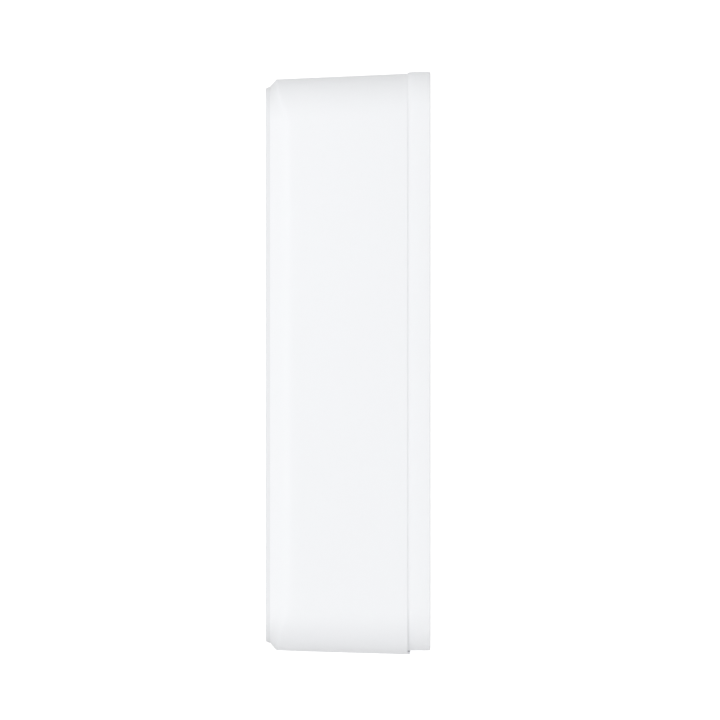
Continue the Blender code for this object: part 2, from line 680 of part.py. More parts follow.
def rear_cover():
    cover = part(loft("rear_cover", [
        (COVER_Y[1], grown(COVER_OUTLINE, -0.3)), (COVER_Y[1] - 0.3, COVER_OUTLINE),
        (COVER_Y[0], COVER_OUTLINE),
    ]), "bracket_plastic")
    through = (COVER_Y[0] - OVER, COVER_Y[1] + OVER)
    head = (COVER_Y[1] - 1.3, COVER_Y[1] - 0.15)
    for number, (x, z) in enumerate(post_places()):
        cut(
            cover,
            disc(f"cover_counterbore_{number}", x, z, HEAD_RADIUS + GAP, (head[0] - GAP, through[1]), 20),
            disc(f"cover_screw_hole_{number}", x, z, PILOT_RADIUS, through, 12),
        )
        screw(f"cover_screw_{number + 1}", x, z, head, -14.0)
    for side, name in ((-1, "left"), (1, "right")):
        x = side * TONGUE_X
        reach = (x - TONGUE_HALF_X - 0.4, x + TONGUE_HALF_X + 0.4)
        cut(cover, block(f"tongue_slot_{name}", reach, through, (TONGUE_Z[0] - 1.0, TONGUE_Z[1] + 0.4)))
        cut(cover, disc(f"terminal_hole_{name}", side * TERMINAL_X, TERMINAL_Z, 1.5, through, 12))
    for number, (x, z) in enumerate(IO_STANDOFFS):
        reach = (IO_BOARD_Y[1] + GAP, COVER_Y[0] + ROOT)
        join(cover, disc(f"io_standoff_{number}", x, z, 1.3, reach, 12))
    tab = (-TAB_HALF_X - 0.5, TAB_HALF_X + 0.5)
    cut(
        cover,
        block("tab_slot", tab, through, (TAB_Z[0] - 0.6, TAB_Z[1] + 0.7)),
        disc("sync_hole", 0, SYNC_Z, 2.5, through, 20),
        disc("tamper_hole", TAMPER_X, SYNC_Z, 1.8, through, 16),
    )
    sections = [(y, SEAL_OUTLINE) for y in SEAL_Y]
    seal = part(loft("housing_seal", sections, 5), "rubber")
    inner = (SEAL_Y[0] - OVER, SEAL_Y[1] + OVER)
    cut(seal, loft("seal_inside", [(y, grown(SEAL_OUTLINE, -SEAL_WIDTH)) for y in inner], 5))
    return cover


def terminals():
    """The two screws and plates that the old bell's wires are clamped under."""
    turning = []
    plate_y = (COVER_Y[1] + GAP, COVER_Y[1] + GAP + 0.6)
    head = (plate_y[1] + GAP, plate_y[1] + GAP + 1.6)
    for side, name in ((-1, "left"), (1, "right")):
        x = side * TERMINAL_X
        plate = block(f"terminal_plate_{name}", (x - 3.6, x + 3.6), plate_y,
                      (TERMINAL_Z - 4.5, TERMINAL_Z + 4.5))
        part(plate, "brass")
        reach = (plate_y[0] - OVER, plate_y[1] + OVER)
        cut(plate, disc(f"plate_hole_{name}", x, TERMINAL_Z, 1.5, reach, 12))
        turning.append(screw(f"terminal_screw_{name}", x, TERMINAL_Z, head, -8.7, "brass"))
    return turning


def rear_controls():
    """The pairing button, the plunger that feels the wall, and the board that they press on."""
    part(block("io_board", (-12.0, 12.0), IO_BOARD_Y, (22.6, 31.4)), "circuit_board")
    y = IO_BOARD_Y[1] + GAP
    part(block("sync_switch", (-2.0, 2.0), (y, y + 1.6), (SYNC_Z - 2.0, SYNC_Z + 2.0)), "black_plastic")
    x = TAMPER_X
    tamper_switch = block("tamper_switch", (x - 2.0, x + 2.0), (y, y + 0.6), (SYNC_Z - 2.0, SYNC_Z + 2.0))
    part(tamper_switch, "black_plastic")
    flange = (-9.0, COVER_Y[0] - GAP)
    sync = turned("sync_button", (0, flange[0], SYNC_Z), [
        (0, -9.6), (1.2, -9.6), (1.2, flange[0]), (3.2, flange[0]), (3.2, flange[1]), (2.1, flange[1]),
        (2.1, -4.9), (1.8, -4.6), (0, -4.6),
    ], steps=20)
    plunger = turned("tamper_plunger", (x, flange[0], SYNC_Z), [
        (0, -9.9), (0.9, -9.9), (0.9, flange[0]), (2.5, flange[0]), (2.5, flange[1]), (1.4, flange[1]),
        (1.4, TAMPER_TIP_Y - 0.4), (1.0, TAMPER_TIP_Y), (0, TAMPER_TIP_Y),
    ], steps=16)
    part(sync, "rubber")
    part(plunger, "white_rubber")
    return sync, plunger


def security_screw():
    """The screw in the bottom face that drives up into the bracket's tab."""
    low = SECURITY_HEAD_Z
    body = turned("security_screw", (0, SECURITY_Y, low), [
        (0, low + 6.6), (0.7, low + 6.6), (1.1, low + 6.1), (1.1, low + 1.8), (2.1, low + 1.8),
        (2.1, low + 0.3), (1.8, low), (0, low),
    ], upright=True, steps=20)
    part(body, "tinned_steel")
    cut(body, post("security_socket", 0, SECURITY_Y, 0.95, (low - OVER, low + 1.0), 6))
    return body


def wall_bracket():
    outline = BRACKET_OUTLINE
    bracket = part(loft("wall_bracket", [
        (0.0, grown(outline, -0.25)), (-0.25, outline),
        (0.3 - BRACKET_DEPTH, outline), (-BRACKET_DEPTH, grown(outline, -0.3)),
    ]), "bracket_plastic")
    through = (-BRACKET_DEPTH - OVER, OVER)
    across = (-WINDOW_HALF_X, WINDOW_HALF_X)
    cut(
        bracket,
        block("lower_window", across, through, LOWER_WINDOW_Z),
        block("upper_window", across, through, UPPER_WINDOW_Z),
    )
    for number, z in enumerate(SLOT_Z):
        slot = Outline(SLOT_RADIUS, SLOT_RADIUS + SLOT_HALF_LENGTH, SLOT_RADIUS - 0.05, z)
        sunk = grown(slot, 2.4)
        cut(bracket, loft(f"screw_slot_{number}", [(y, slot) for y in through], 4))
        cut(bracket, loft(f"screw_sink_{number}", [(y, sunk) for y in (through[0], -2.4)], 4))
    root = (TONGUE_TIP_Y, ROOT - BRACKET_DEPTH)
    for side, name in ((-1, "left"), (1, "right")):
        x = side * TONGUE_X
        join(bracket, block(f"tongue_{name}", (x - TONGUE_HALF_X, x + TONGUE_HALF_X), root, TONGUE_Z))
    join(bracket, block("tab", (-TAB_HALF_X, TAB_HALF_X), (TAB_TIP_Y, root[1]), TAB_Z))
    cut(bracket, post("tab_hole", 0, SECURITY_Y, 1.45, (TAB_Z[0] - OVER, TAB_Z[1] + OVER), 16))
    return bracket


def pivot(name, place, pieces):
    """An empty on a joint's axis, which carries the pieces that move about it or along it."""
    empty = bpy.data.objects.new(name, None)
    empty.empty_display_size = 5 * MM
    empty.location = Vector(place) * MM
    PARTS.objects.link(empty)
    for piece in pieces:
        piece.parent = empty
        piece.matrix_parent_inverse = Matrix.Translation(empty.location).inverted()
    return empty


def build():
    bracket = wall_bracket()
    main_housing()
    front_cover()
    camera()
    motion_sensor()
    button_pieces = call_button()
    microphone()
    boards()
    battery()
    sound()
    flap = charging_socket()
    rear_cover()
    screws = terminals()
    sync, plunger = rear_controls()
    security = security_screw()
    moving = {
        "button_axis": ((0, Y_FRONT, BUTTON_Z), button_pieces),
        "flap_axis": ((0, SOCKET_Y - FLAP_HALF_Y - 0.1, FLAP_Z[0] - 0.05), [flap]),
        "sync_axis": ((0, COVER_Y[1], SYNC_Z), [sync]),
        "tamper_axis": ((TAMPER_X, COVER_Y[1], SYNC_Z), [plunger]),
        "security_axis": ((0, SECURITY_Y, SECURITY_HEAD_Z), [security]),
        "terminal_axis_left": ((-TERMINAL_X, COVER_Y[1], TERMINAL_Z), screws[:1]),
        "terminal_axis_right": ((TERMINAL_X, COVER_Y[1], TERMINAL_Z), screws[1:]),
    }
    for name, (place, pieces) in moving.items():
        pivot(name, place, pieces)
    tilting = [obj for obj in PARTS.objects if obj is not bracket and obj.parent is None]
    pivot("tilt_axis", (0, TILT_Y, TILT_Z), tilting)


build()
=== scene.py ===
"""Looks for a white video doorbell on its wall bracket, seen straight from the side.

Sizes are in millimetres unless a name says otherwise, and MM turns them into the frame's metres.
The frame's axes: -Y is the doorbell's front, +Z is up, and the wall lies in the plane Y = 0.
"""

import json
import math

import bmesh
import bpy
import numpy as np
from mathutils import Matrix, Vector

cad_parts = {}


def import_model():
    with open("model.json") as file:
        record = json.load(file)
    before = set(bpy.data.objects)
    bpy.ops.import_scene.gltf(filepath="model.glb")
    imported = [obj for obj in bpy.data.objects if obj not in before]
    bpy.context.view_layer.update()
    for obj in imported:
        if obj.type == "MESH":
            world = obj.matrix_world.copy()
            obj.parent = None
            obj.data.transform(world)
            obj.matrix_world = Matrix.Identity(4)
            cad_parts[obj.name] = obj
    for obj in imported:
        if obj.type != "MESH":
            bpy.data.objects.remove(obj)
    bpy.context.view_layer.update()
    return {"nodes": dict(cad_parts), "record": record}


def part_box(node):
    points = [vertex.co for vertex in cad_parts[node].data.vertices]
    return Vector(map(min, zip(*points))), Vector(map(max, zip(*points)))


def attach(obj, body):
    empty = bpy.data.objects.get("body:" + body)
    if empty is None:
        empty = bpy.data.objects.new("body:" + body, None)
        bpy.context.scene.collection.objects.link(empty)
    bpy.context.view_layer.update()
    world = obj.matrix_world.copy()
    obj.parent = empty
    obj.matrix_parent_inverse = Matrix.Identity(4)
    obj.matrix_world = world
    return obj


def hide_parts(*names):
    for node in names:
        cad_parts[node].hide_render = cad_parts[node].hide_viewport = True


MM = 0.001
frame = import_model()
NODES = frame["nodes"]
BODY_OF = {node: body for body, nodes in frame["record"]["behaviour"]["bodies"].items() for node in nodes}
SLOT_OF = {entry["node"]: entry["material_slot"] for entry in frame["record"]["subparts"]}


# ---------------------------------------------------------------- sizes, from the frame


def box_mm(node):
    """The node's lowest and highest corners, in millimetres."""
    low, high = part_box(node)
    return low / MM, high / MM


def middle(node):
    low, high = box_mm(node)
    return (low + high) / 2


HOUSING_LOW, HOUSING_HIGH = box_mm("main_housing")
COVER_LOW, COVER_HIGH = box_mm("front_cover")
BRACKET_LOW, BRACKET_HIGH = box_mm("wall_bracket")
REAR_LOW, REAR_HIGH = box_mm("rear_cover")

CAMERA_Z = middle("camera_window").z
BUTTON_Z = middle("button_cap").z
PIR_Z = middle("pir_lens").z
MIC_Z = middle("mic_seal").z
SOCKET_Y = middle("usb_port").y
SECURITY_Y = middle("security_screw").y

# Rounded rectangles: half width, half height, corner radius, centre height
REAR_RIM = (
    HOUSING_HIGH.x, (HOUSING_HIGH.z - HOUSING_LOW.z) / 2, 11.0, (HOUSING_HIGH.z + HOUSING_LOW.z) / 2
)
DRAFT_END = (24.3, 67.49, 10.3, -0.85)
Y_DRAFT_END = -31.0
FRONT_REACH = 0.3  # the housing runs this far past the CAD's, up to the front plate's back
Y_HOUSING_FRONT = HOUSING_LOW.y - FRONT_REACH
FRONT_EDGE_DEPTH = Y_DRAFT_END - Y_HOUSING_FRONT
RIM_ROUND = 0.015  # the housing's rear edge, nearly sharp, so that the seam stays a hairline
BRACKET_BACK_ROUND = 0.35
BRACKET_CORNER = 10.8
# The slope at the top of the bracket's front edge: places forward of the seam, and the top's drop there
BRACKET_SLOPE = ((1.4, 0.0), (0.75, 0.06), (0.3, 0.16), (0.02, 0.26), (0.0, 0.3))
CLEAR_RADIUS = 5.0  # the camera window's clear middle
FRONT_ROUND = 0.2  # the front plate's edge
PLATE_TAPER = 0.42  # how much the front plate narrows to the front
GAP = 0.3  # clearance between neighbours
HAIRLINE = 0.005  # what is left of a seam that looks closed
CORNER_STEPS = 18
ARC_STEPS = 5
OVER = 1.0  # how far a cutter runs past the face that it opens

COVER_POSTS = [(x, z) for x in (-17.8, 17.8) for z in (-60.96, 59.64)]
COVER_INNER_Y = -7.8
TONGUES_X = (-9.5, 9.5)
TONGUE_TIP_Y = -8.9
CONTROLS_Z = 27.0  # the pairing button and the wall plunger
PLUNGER_X = -7.0
TERMINALS = ((-6.0, -19.0), (6.0, -19.0))


# ---------------------------------------------------------------- materials


def feed(tree, node, **inputs):
    """Sets the node's inputs (with _ for a space), each to a value or to another node's output."""
    for name, value in inputs.items():
        socket = node.inputs[name.replace("_", " ")]
        if isinstance(value, bpy.types.NodeSocket):
            tree.links.new(value, socket)
        else:
            socket.default_value = value
    return node


def new_material(name):
    material = bpy.data.materials.new(name)
    material.use_nodes = True
    tree = material.node_tree
    return material, tree, tree.nodes["Principled BSDF"]


def object_space(tree):
    return tree.nodes.new("ShaderNodeTexCoord").outputs["Object"]


def noise(tree, scale, detail=4.0, rough=0.55, stretch=None):
    """A noise field fixed to the object, `scale` waves to the metre."""
    source = object_space(tree)
    if stretch:
        mapping = feed(tree, tree.nodes.new("ShaderNodeMapping"), Scale=stretch, Vector=source)
        source = mapping.outputs["Vector"]
    field = tree.nodes.new("ShaderNodeTexNoise")
    feed(tree, field, Scale=scale, Detail=detail, Roughness=rough, Vector=source)
    return field.outputs["Fac"]


def ramp(tree, factor, stops):
    """A colour ramp whose stops are (place, colour or grey value)."""
    node = tree.nodes.new("ShaderNodeValToRGB")
    elements = node.color_ramp.elements
    while len(elements) < len(stops):
        elements.new(0.5)
    for element, (place, colour) in zip(elements, stops):
        element.position = place
        shade = (colour,) * 3 if isinstance(colour, float) else colour
        element.color = (*shade, 1.0)
    return feed(tree, node, Fac=factor).outputs["Color"]


def bump(tree, height, distance_mm, strength=1.0, under=None):
    node = tree.nodes.new("ShaderNodeBump")
    feed(tree, node, Distance=distance_mm * MM, Strength=strength, Height=height)
    if under is not None:
        feed(tree, node, Normal=under)
    return node.outputs["Normal"]


def math_node(tree, operation, *inputs, clamp=False):
    """A math node's output. Each input is a number or another node's output."""
    node = tree.nodes.new("ShaderNodeMath")
    node.operation = operation
    node.use_clamp = clamp
    for value, socket in zip(inputs, node.inputs):
        if isinstance(value, float):
            socket.default_value = value
        else:
            tree.links.new(value, socket)
    return node.outputs[0]


def varied(colour, share):
    return tuple(min(1.0, channel * share) for channel in colour)


def moulded(name, colour, roughness, grain_mm=0.35, grain_depth_mm=0.012, spread=0.02, ior=1.46):
    """Moulded plastic or rubber: an even fine grain, with faint flow marks and handling marks."""
    material, tree, shader = new_material(name)
    flow = noise(tree, 26.0, 3.0, 0.5, (1.0, 1.0, 0.35))
    tone = ramp(tree, flow, [(0.3, varied(colour, 1 - spread)), (0.7, varied(colour, 1 + spread / 2))])
    marks = noise(tree, 130.0, 5.0, 0.6)
    gloss = ramp(tree, marks, [(0.3, roughness * 0.9), (0.75, min(1.0, roughness * 1.14))])
    grain = noise(tree, 1000.0 / grain_mm, 2.0, 0.5)
    waves = bump(tree, noise(tree, 55.0, 2.0, 0.4), 0.02)
    normal = bump(tree, grain, grain_depth_mm, 0.8, waves)
    feed(tree, shader, Base_Color=tone, Roughness=gloss, IOR=ior, Normal=normal)
    return material


def metal(name, colour, roughness, streak=(1.0, 1.0, 1.0), depth_mm=0.006):
    """Plated or turned metal with fine tool marks and a little dulling."""
    material, tree, shader = new_material(name)
    dull = noise(tree, 420.0, 5.0, 0.62)
    tone = ramp(tree, dull, [(0.3, varied(colour, 0.86)), (0.62, colour), (0.8, varied(colour, 1.06))])
    tool = noise(tree, 2400.0, 3.0, 0.55, streak)
    gloss = ramp(tree, tool, [(0.25, roughness * 0.7), (0.8, roughness * 1.4)])
    feed(tree, shader, Metallic=1.0, Base_Color=tone, Roughness=gloss, Normal=bump(tree, tool, depth_mm, 0.7))
    return material


def polished(name, colour, roughness, transmission=0.0, ior=1.5, coat=0.0):
    """Polished plastic or glass, with the faint smears and fine dust of a used window."""
    material, tree, shader = new_material(name)
    smear = noise(tree, 95.0, 5.0, 0.65, (1.0, 1.0, 0.4))
    gloss = ramp(tree, smear, [(0.42, roughness), (0.8, roughness + 0.07)])
    tone = ramp(tree, smear, [(0.4, colour), (0.85, tuple(channel + 0.012 for channel in colour))])
    feed(tree, shader, Base_Color=tone, Roughness=gloss, Normal=bump(tree, noise(tree, 60.0, 2.0), 0.004),
         Transmission_Weight=transmission, IOR=ior, Coat_Weight=coat, Coat_Roughness=0.03)
    return material


def circuit_board(name):
    """Green solder mask over faint copper tracks, with glass-fibre grain."""
    material, tree, shader = new_material(name)
    cells = tree.nodes.new("ShaderNodeTexVoronoi")
    cells.distance = "CHEBYCHEV"
    cells.feature = "F1"
    feed(tree, cells, Scale=260.0, Randomness=0.75, Vector=object_space(tree))
    tracks = ramp(tree, cells.outputs["Distance"], [(0.38, 0.0), (0.44, 1.0), (0.56, 0.15)])
    mask = tree.nodes.new("ShaderNodeMix")
    mask.data_type = "RGBA"
    feed(tree, mask, A=(0.008, 0.085, 0.032, 1.0), B=(0.022, 0.19, 0.075, 1.0), Factor=tracks)
    gloss = ramp(tree, noise(tree, 1800.0, 2.0, 0.5), [(0.3, 0.3), (0.8, 0.45)])
    feed(tree, shader, Base_Color=mask.outputs["Result"], Roughness=gloss, Normal=bump(tree, tracks, 0.02),
         Coat_Weight=0.25)
    return material


def woven(name, colour, pitch_mm):
    """Fine metal mesh."""
    material, tree, shader = new_material(name)
    source = object_space(tree)
    heights = []
    for direction in ("X", "Y"):
        wave = tree.nodes.new("ShaderNodeTexWave")
        wave.bands_direction = direction
        feed(tree, wave, Scale=314.0 / pitch_mm, Vector=source)
        heights.append(wave.outputs["Fac"])
    weave = math_node(tree, "MULTIPLY", *heights)
    # Nearly black in the weave's low gaps, where the bump sinks: painted shade
    tone = ramp(tree, weave, [(0.1, varied(colour, 0.15)), (0.5, colour)])
    feed(tree, shader, Metallic=0.9, Base_Color=tone, Normal=bump(tree, weave, 0.08), Roughness=0.4)
    return material


def foam(name, colour):
    """Closed-cell foam."""
    material, tree, shader = new_material(name)
    cells = tree.nodes.new("ShaderNodeTexVoronoi")
    distance = feed(tree, cells, Scale=2200.0, Vector=object_space(tree)).outputs["Distance"]
    # Darker in each cell's pit, where the bump sinks: painted shade
    tone = ramp(tree, distance, [(0.0, varied(colour, 0.5)), (0.6, varied(colour, 1.3))])
    feed(tree, shader, Base_Color=tone, Normal=bump(tree, distance, 0.12), Roughness=0.95)
    return material


# Glossy white plastics stay at 0.32 or rougher: smoother ones come out of the denoiser with blotches
WHITE = (0.885, 0.895, 0.912)
MATERIALS = {
    "white_plastic": moulded("white_plastic", WHITE, 0.32, 0.32, 0.006, 0.008, 1.58),
    "bracket_plastic": moulded("bracket_plastic", varied(WHITE, 1.004), 0.55, 0.45, 0.010, 0.008),
    "dark_lens": polished("dark_lens", (0.010, 0.010, 0.012), 0.04, 0.0, 1.45, 0.2),
    "clear_glass": polished("clear_glass", (0.42, 0.34, 0.62), 0.015, 0.85, 1.62),
    "pir_plastic": moulded("pir_plastic", (0.79, 0.80, 0.79), 0.34, 0.5, 0.004, 0.02, 1.52),
    "light_guide": moulded("light_guide", (0.74, 0.79, 0.84), 0.32, 0.6, 0.003, 0.02, 1.5),
    "black_plastic": moulded("black_plastic", (0.022, 0.022, 0.024), 0.48, 0.3, 0.012, 0.2),
    "circuit_board": circuit_board("circuit_board"),
    "tinned_steel": metal("tinned_steel", (0.66, 0.66, 0.67), 0.36),
    "brass": metal("brass", (0.78, 0.58, 0.27), 0.36, (1.0, 8.0, 1.0)),
    "rubber": moulded("rubber", (0.035, 0.035, 0.036), 0.72, 0.2, 0.02, 0.15, 1.42),
    "white_rubber": moulded("white_rubber", (0.80, 0.81, 0.825), 0.66, 0.2, 0.014, 0.02, 1.42),
    "cell_wrap": moulded("cell_wrap", (0.03, 0.14, 0.38), 0.33, 1.6, 0.012, 0.08),
    "foam": foam("foam", (0.1, 0.1, 0.11)),
    "led": polished("led", (0.86, 0.84, 0.66), 0.12, 0.25, 1.5),
    "copper_flex": moulded("copper_flex", (0.62, 0.30, 0.07), 0.34, 0.8, 0.01, 0.12),
}
EXTRA = {
    # Painted shade: the housing's white made 7% darker for the front plate, which faces away from the side
    # light
    "front_white_painted_shade": moulded("front_white_painted_shade", varied(WHITE, 0.93), 0.32, 0.32, 0.005, 0.006),
    "window_clear": polished("window_clear", (0.93, 0.95, 0.97), 0.02, 0.97, 1.36),
    "printed_ring": polished("printed_ring", (0.008, 0.008, 0.009), 0.05, 0.0, 1.46, 0.0),
    "lens_coating": polished("lens_coating", (0.05, 0.025, 0.13), 0.02, 0.35, 1.6, 0.7),
    "speaker_weave": woven("speaker_weave", (0.30, 0.30, 0.31), 0.5),
    "contact_gold": metal("contact_gold", (0.83, 0.62, 0.28), 0.22),
    "chip_black": moulded("chip_black", (0.028, 0.028, 0.030), 0.6, 0.12, 0.01, 0.2),
    "ceramic_tan": moulded("ceramic_tan", (0.42, 0.27, 0.15), 0.4, 0.3, 0.006, 0.1),
}


# ---------------------------------------------------------------- mesh tools


def filleted(points, radius, steps=ARC_STEPS, closed=False):
    """The polyline with each inner corner made an arc. `radius` is one number, or one per point."""
    count = len(points)
    radii = radius if isinstance(radius, (list, tuple)) else [radius] * count
    flat = [Vector(point) for point in points]
    out = []
    for i, corner in enumerate(flat):
        if radii[i] <= 0 or (not closed and i in (0, count - 1)):
            out.append(corner)
            continue
        before = flat[i - 1] - corner
        after = flat[(i + 1) % count] - corner
        turn = before.angle(after)
        if turn > math.radians(179) or turn < math.radians(1):
            out.append(corner)
            continue
        reach = min(radii[i] / math.tan(turn / 2), 0.49 * before.length, 0.49 * after.length)
        start = corner + before.normalized() * reach
        end = corner + after.normalized() * reach
        for step in range(steps + 1):
            t = step / steps
            out.append(start * (1 - t) ** 2 + corner * 2 * t * (1 - t) + end * t ** 2)
    return out


def rounded_rect(half_width, half_height, radius, centre_z=0.0, steps=CORNER_STEPS, centre_x=0.0):
    """The (x, z) points of a rounded rectangle, corner by corner."""
    points = []
    for corner, (side_x, side_z) in enumerate(((1, 1), (-1, 1), (-1, -1), (1, -1))):
        x = centre_x + side_x * (half_width - radius)
        z = centre_z + side_z * (half_height - radius)
        for step in range(steps + 1):
            angle = math.radians(90 * (corner + step / steps))
            points.append((x + radius * math.cos(angle), z + radius * math.sin(angle)))
    return points


def inset(rect, by):
    half_width, half_height, radius, centre_z = rect
    return half_width - by, half_height - by, radius - by, centre_z


def bridge(bm, rings, closed=False):
    pairs = list(zip(rings, rings[1:]))
    if closed:
        pairs.append((rings[-1], rings[0]))
    for first, second in pairs:
        for near, far in zip(range(len(first)), [*range(1, len(first)), 0]):
            bm.faces.new((first[near], first[far], second[far], second[near]))


def capped(bm, rings, name):
    """A closed body out of rings of vertices, with a face over each end."""
    bridge(bm, rings)
    bm.faces.new(rings[0])
    bm.faces.new(rings[-1])
    return to_object(bm, name)


def loft(name, sections, steps=CORNER_STEPS):
    """A closed body through sections: each is a place along Y and a rounded rectangle, or its points."""
    bm = bmesh.new()
    rings = []
    for y, shape in sections:
        outline = rounded_rect(*shape, steps=steps) if len(shape) == 4 else shape
        rings.append([bm.verts.new((x, y, z)) for x, z in outline])
    return capped(bm, rings, name)


def revolved(name, centre, profile, steps=64, closed=False, upright=False):
    """A body of revolution. `profile` holds (radius, place along Y, or along Z if upright)."""
    bm = bmesh.new()
    axis_x, axis_other = centre
    rings = []
    tips = []
    for radius, along in profile:
        if radius < 1e-6:
            place = (axis_x, axis_other, along) if upright else (axis_x, along, axis_other)
            tips.append((len(rings), bm.verts.new(place)))
            continue
        ring = []
        for step in range(steps):
            angle = 2 * math.pi * step / steps
            across, up = radius * math.cos(angle), radius * math.sin(angle)
            place = (
                (axis_x + across, axis_other + up, along) if upright
                else (axis_x + across, along, axis_other + up)
            )
            ring.append(bm.verts.new(place))
        rings.append(ring)
    bridge(bm, rings, closed)
    for index, tip in tips:
        ring = rings[min(index, len(rings) - 1)]
        for near, far in zip(ring, [*ring[1:], ring[0]]):
            bm.faces.new((tip, near, far))
    return to_object(bm, name)


def slab(name, x, y, z, radius=0.0, steps=4):
    """A box between pairs of x, y and z, with its edges along Y rounded."""
    bm = bmesh.new()
    if radius <= 0:
        size = [pair[1] - pair[0] for pair in (x, y, z)]
        centre = [(pair[1] + pair[0]) / 2 for pair in (x, y, z)]
        bmesh.ops.create_cube(
            bm, size=1.0, matrix=Matrix.Translation(centre) @ Matrix.Diagonal((*size, 1.0))
        )
        return to_object(bm, name)
    outline = rounded_rect(
        (x[1] - x[0]) / 2, (z[1] - z[0]) / 2, radius, (z[0] + z[1]) / 2, steps, (x[0] + x[1]) / 2
    )
    rings = [[bm.verts.new((px, place, pz)) for px, pz in outline] for place in y]
    return capped(bm, rings, name)


def upright_slab(name, x, y, z, radius, steps=6):
    """A box whose edges along Z are rounded."""
    half_width, half_depth = (x[1] - x[0]) / 2, (y[1] - y[0]) / 2
    centre_x, centre_y = (x[0] + x[1]) / 2, (y[0] + y[1]) / 2
    outline = rounded_rect(half_width, half_depth, min(radius, half_depth - 0.01), 0.0, steps)
    bm = bmesh.new()
    rings = [[bm.verts.new((centre_x + px, centre_y + py, level)) for px, py in outline] for level in z]
    return capped(bm, rings, name)


def pill(name, x, y, z, steps=10):
    """A bar along Z with fully rounded ends."""
    return upright_slab(name, x, y, z, (y[1] - y[0]) / 2 - 0.02, steps)


def bore(name, centre, radius, along, steps=32, upright=False):
    """A plain round cutter between two places along its axis."""
    start, end = along
    profile = [(0, start), (radius, start), (radius, end), (0, end)]
    return revolved(name, centre, profile, steps, upright=upright)


def to_object(bm, name):
    """An object in metres from a bmesh in millimetres."""
    bmesh.ops.remove_doubles(bm, verts=bm.verts, dist=0.0005)
    bmesh.ops.recalc_face_normals(bm, faces=bm.faces)
    bmesh.ops.scale(bm, vec=(MM, MM, MM), verts=bm.verts)
    mesh = bpy.data.meshes.new(name)
    bm.to_mesh(mesh)
    bm.free()
    obj = bpy.data.objects.new(name, mesh)
    bpy.context.scene.collection.objects.link(obj)
    return obj


def applied(obj):
    """Bakes the modifiers into the mesh."""
    graph = bpy.context.evaluated_depsgraph_get()
    mesh = bpy.data.meshes.new_from_object(obj.evaluated_get(graph))
    obj.modifiers.clear()
    old = obj.data
    obj.data = mesh
    bpy.data.meshes.remove(old)
    return obj


def combine(obj, others, operation):
    for other in others:
        change = obj.modifiers.new(operation, "BOOLEAN")
        change.operation = operation
        change.solver = "EXACT"
        change.object = other
    applied(obj)
    for other in others:
        bpy.data.objects.remove(other)
    return obj


def cut(obj, *cutters):
    return combine(obj, cutters, "DIFFERENCE")


def join(obj, *others):
    return combine(obj, others, "UNION")


def soften(obj, width, segments=2, angle=32.0):
    """Rounds the edges that are sharper than `angle` degrees."""
    bevel = obj.modifiers.new("edges", "BEVEL")
    bevel.width = width * MM
    bevel.segments = segments
    bevel.limit_method = "ANGLE"
    bevel.angle_limit = math.radians(angle)
    bevel.use_clamp_overlap = True
    bevel.miter_outer = "MITER_ARC"
    return applied(obj)


def smooth(obj, angle=40.0):
    obj.data.shade_smooth()
    obj.data.set_sharp_from_angle(angle=math.radians(angle))
    return obj


def place(obj, node, material=None, stands_for=(), angle=40.0):
    """Gives a piece its finish, and makes it move with the node's body in place of the node."""
    smooth(obj, angle)
    slot = SLOT_OF[node]
    obj.data.materials.clear()
    obj.data.materials.append(material or MATERIALS[slot])
    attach(obj, BODY_OF[node])
    if stands_for:
        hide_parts(*stands_for)
    return obj


def stand_in(obj, node, material=None, angle=40.0):
    """The piece replaces the CAD node of the same job."""
    return place(obj, node, material, (node,), angle)


# ---------------------------------------------------------------- casing


SIDE_EDGE = (4.3, 1.03)  # how far back from the front the soft edge starts on the long sides, and its inset
END_EDGE = (1.41, 1.6)  # the same at the top and bottom ends, where it is short and steep
DRAFT = (0.027, 0.044)  # narrowing to the front, on the sides and at the ends


def edge_inset(lean, forward):
    """How far the soft front edge is drawn in. `lean` is 0 on the long sides and 1 at the ends."""
    depth = END_EDGE[0] + (SIDE_EDGE[0] - END_EDGE[0]) * (1 - lean) ** 1.6
    slope = (SIDE_EDGE[1] + (END_EDGE[1] - SIDE_EDGE[1]) * lean ** 2) / depth
    turn = 0.2 + 1.0 * (1 - lean) ** 1.4
    past = forward - (FRONT_EDGE_DEPTH - depth)
    drafted = forward * (DRAFT[0] + (DRAFT[1] - DRAFT[0]) * lean)
    if past <= -turn:
        return drafted
    if past >= turn:
        return drafted + slope * past
    return drafted + slope * (past + turn) ** 2 / (4 * turn)


def edge_outline(forward, extra=0.0):
    """The housing's outline at a place forward of the draft's end, drawn in by a further `extra`."""
    half_width, half_height, radius, centre_z = DRAFT_END
    points = []
    for x, z in rounded_rect(*DRAFT_END):
        across = min(1.0, max(0.0, abs(x) - (half_width - radius)) / radius)
        up = min(1.0, max(0.0, abs(z - centre_z) - (half_height - radius)) / radius)
        by = edge_inset(up, forward) + extra
        points.append((x - math.copysign(across * by, x), z - math.copysign(up * by, z - centre_z)))
    return points


def housing_sections():
    rear = HOUSING_HIGH.y - HAIRLINE
    sections = []
    for step in range(ARC_STEPS + 1):
        angle = math.radians(90 * step / ARC_STEPS)
        sections.append((
            rear - RIM_ROUND * (1 - math.cos(angle)), inset(REAR_RIM, RIM_ROUND * (1 - math.sin(angle)))
        ))
    coarse = np.linspace(0.0, FRONT_EDGE_DEPTH - 2.0, 12)
    fine = np.linspace(FRONT_EDGE_DEPTH - 2.0, FRONT_EDGE_DEPTH, 15)[1:]
    for forward in [*coarse, *fine]:
        sections.append((Y_DRAFT_END - forward, edge_outline(forward)))
    return sections


def front_face():
    """About the outline of the housing's front, as a rounded rectangle."""
    half_width, half_height, radius, centre_z = DRAFT_END
    side, end = edge_inset(0.0, FRONT_EDGE_DEPTH), edge_inset(1.0, FRONT_EDGE_DEPTH)
    return half_width - side, half_height - end, radius - side, centre_z


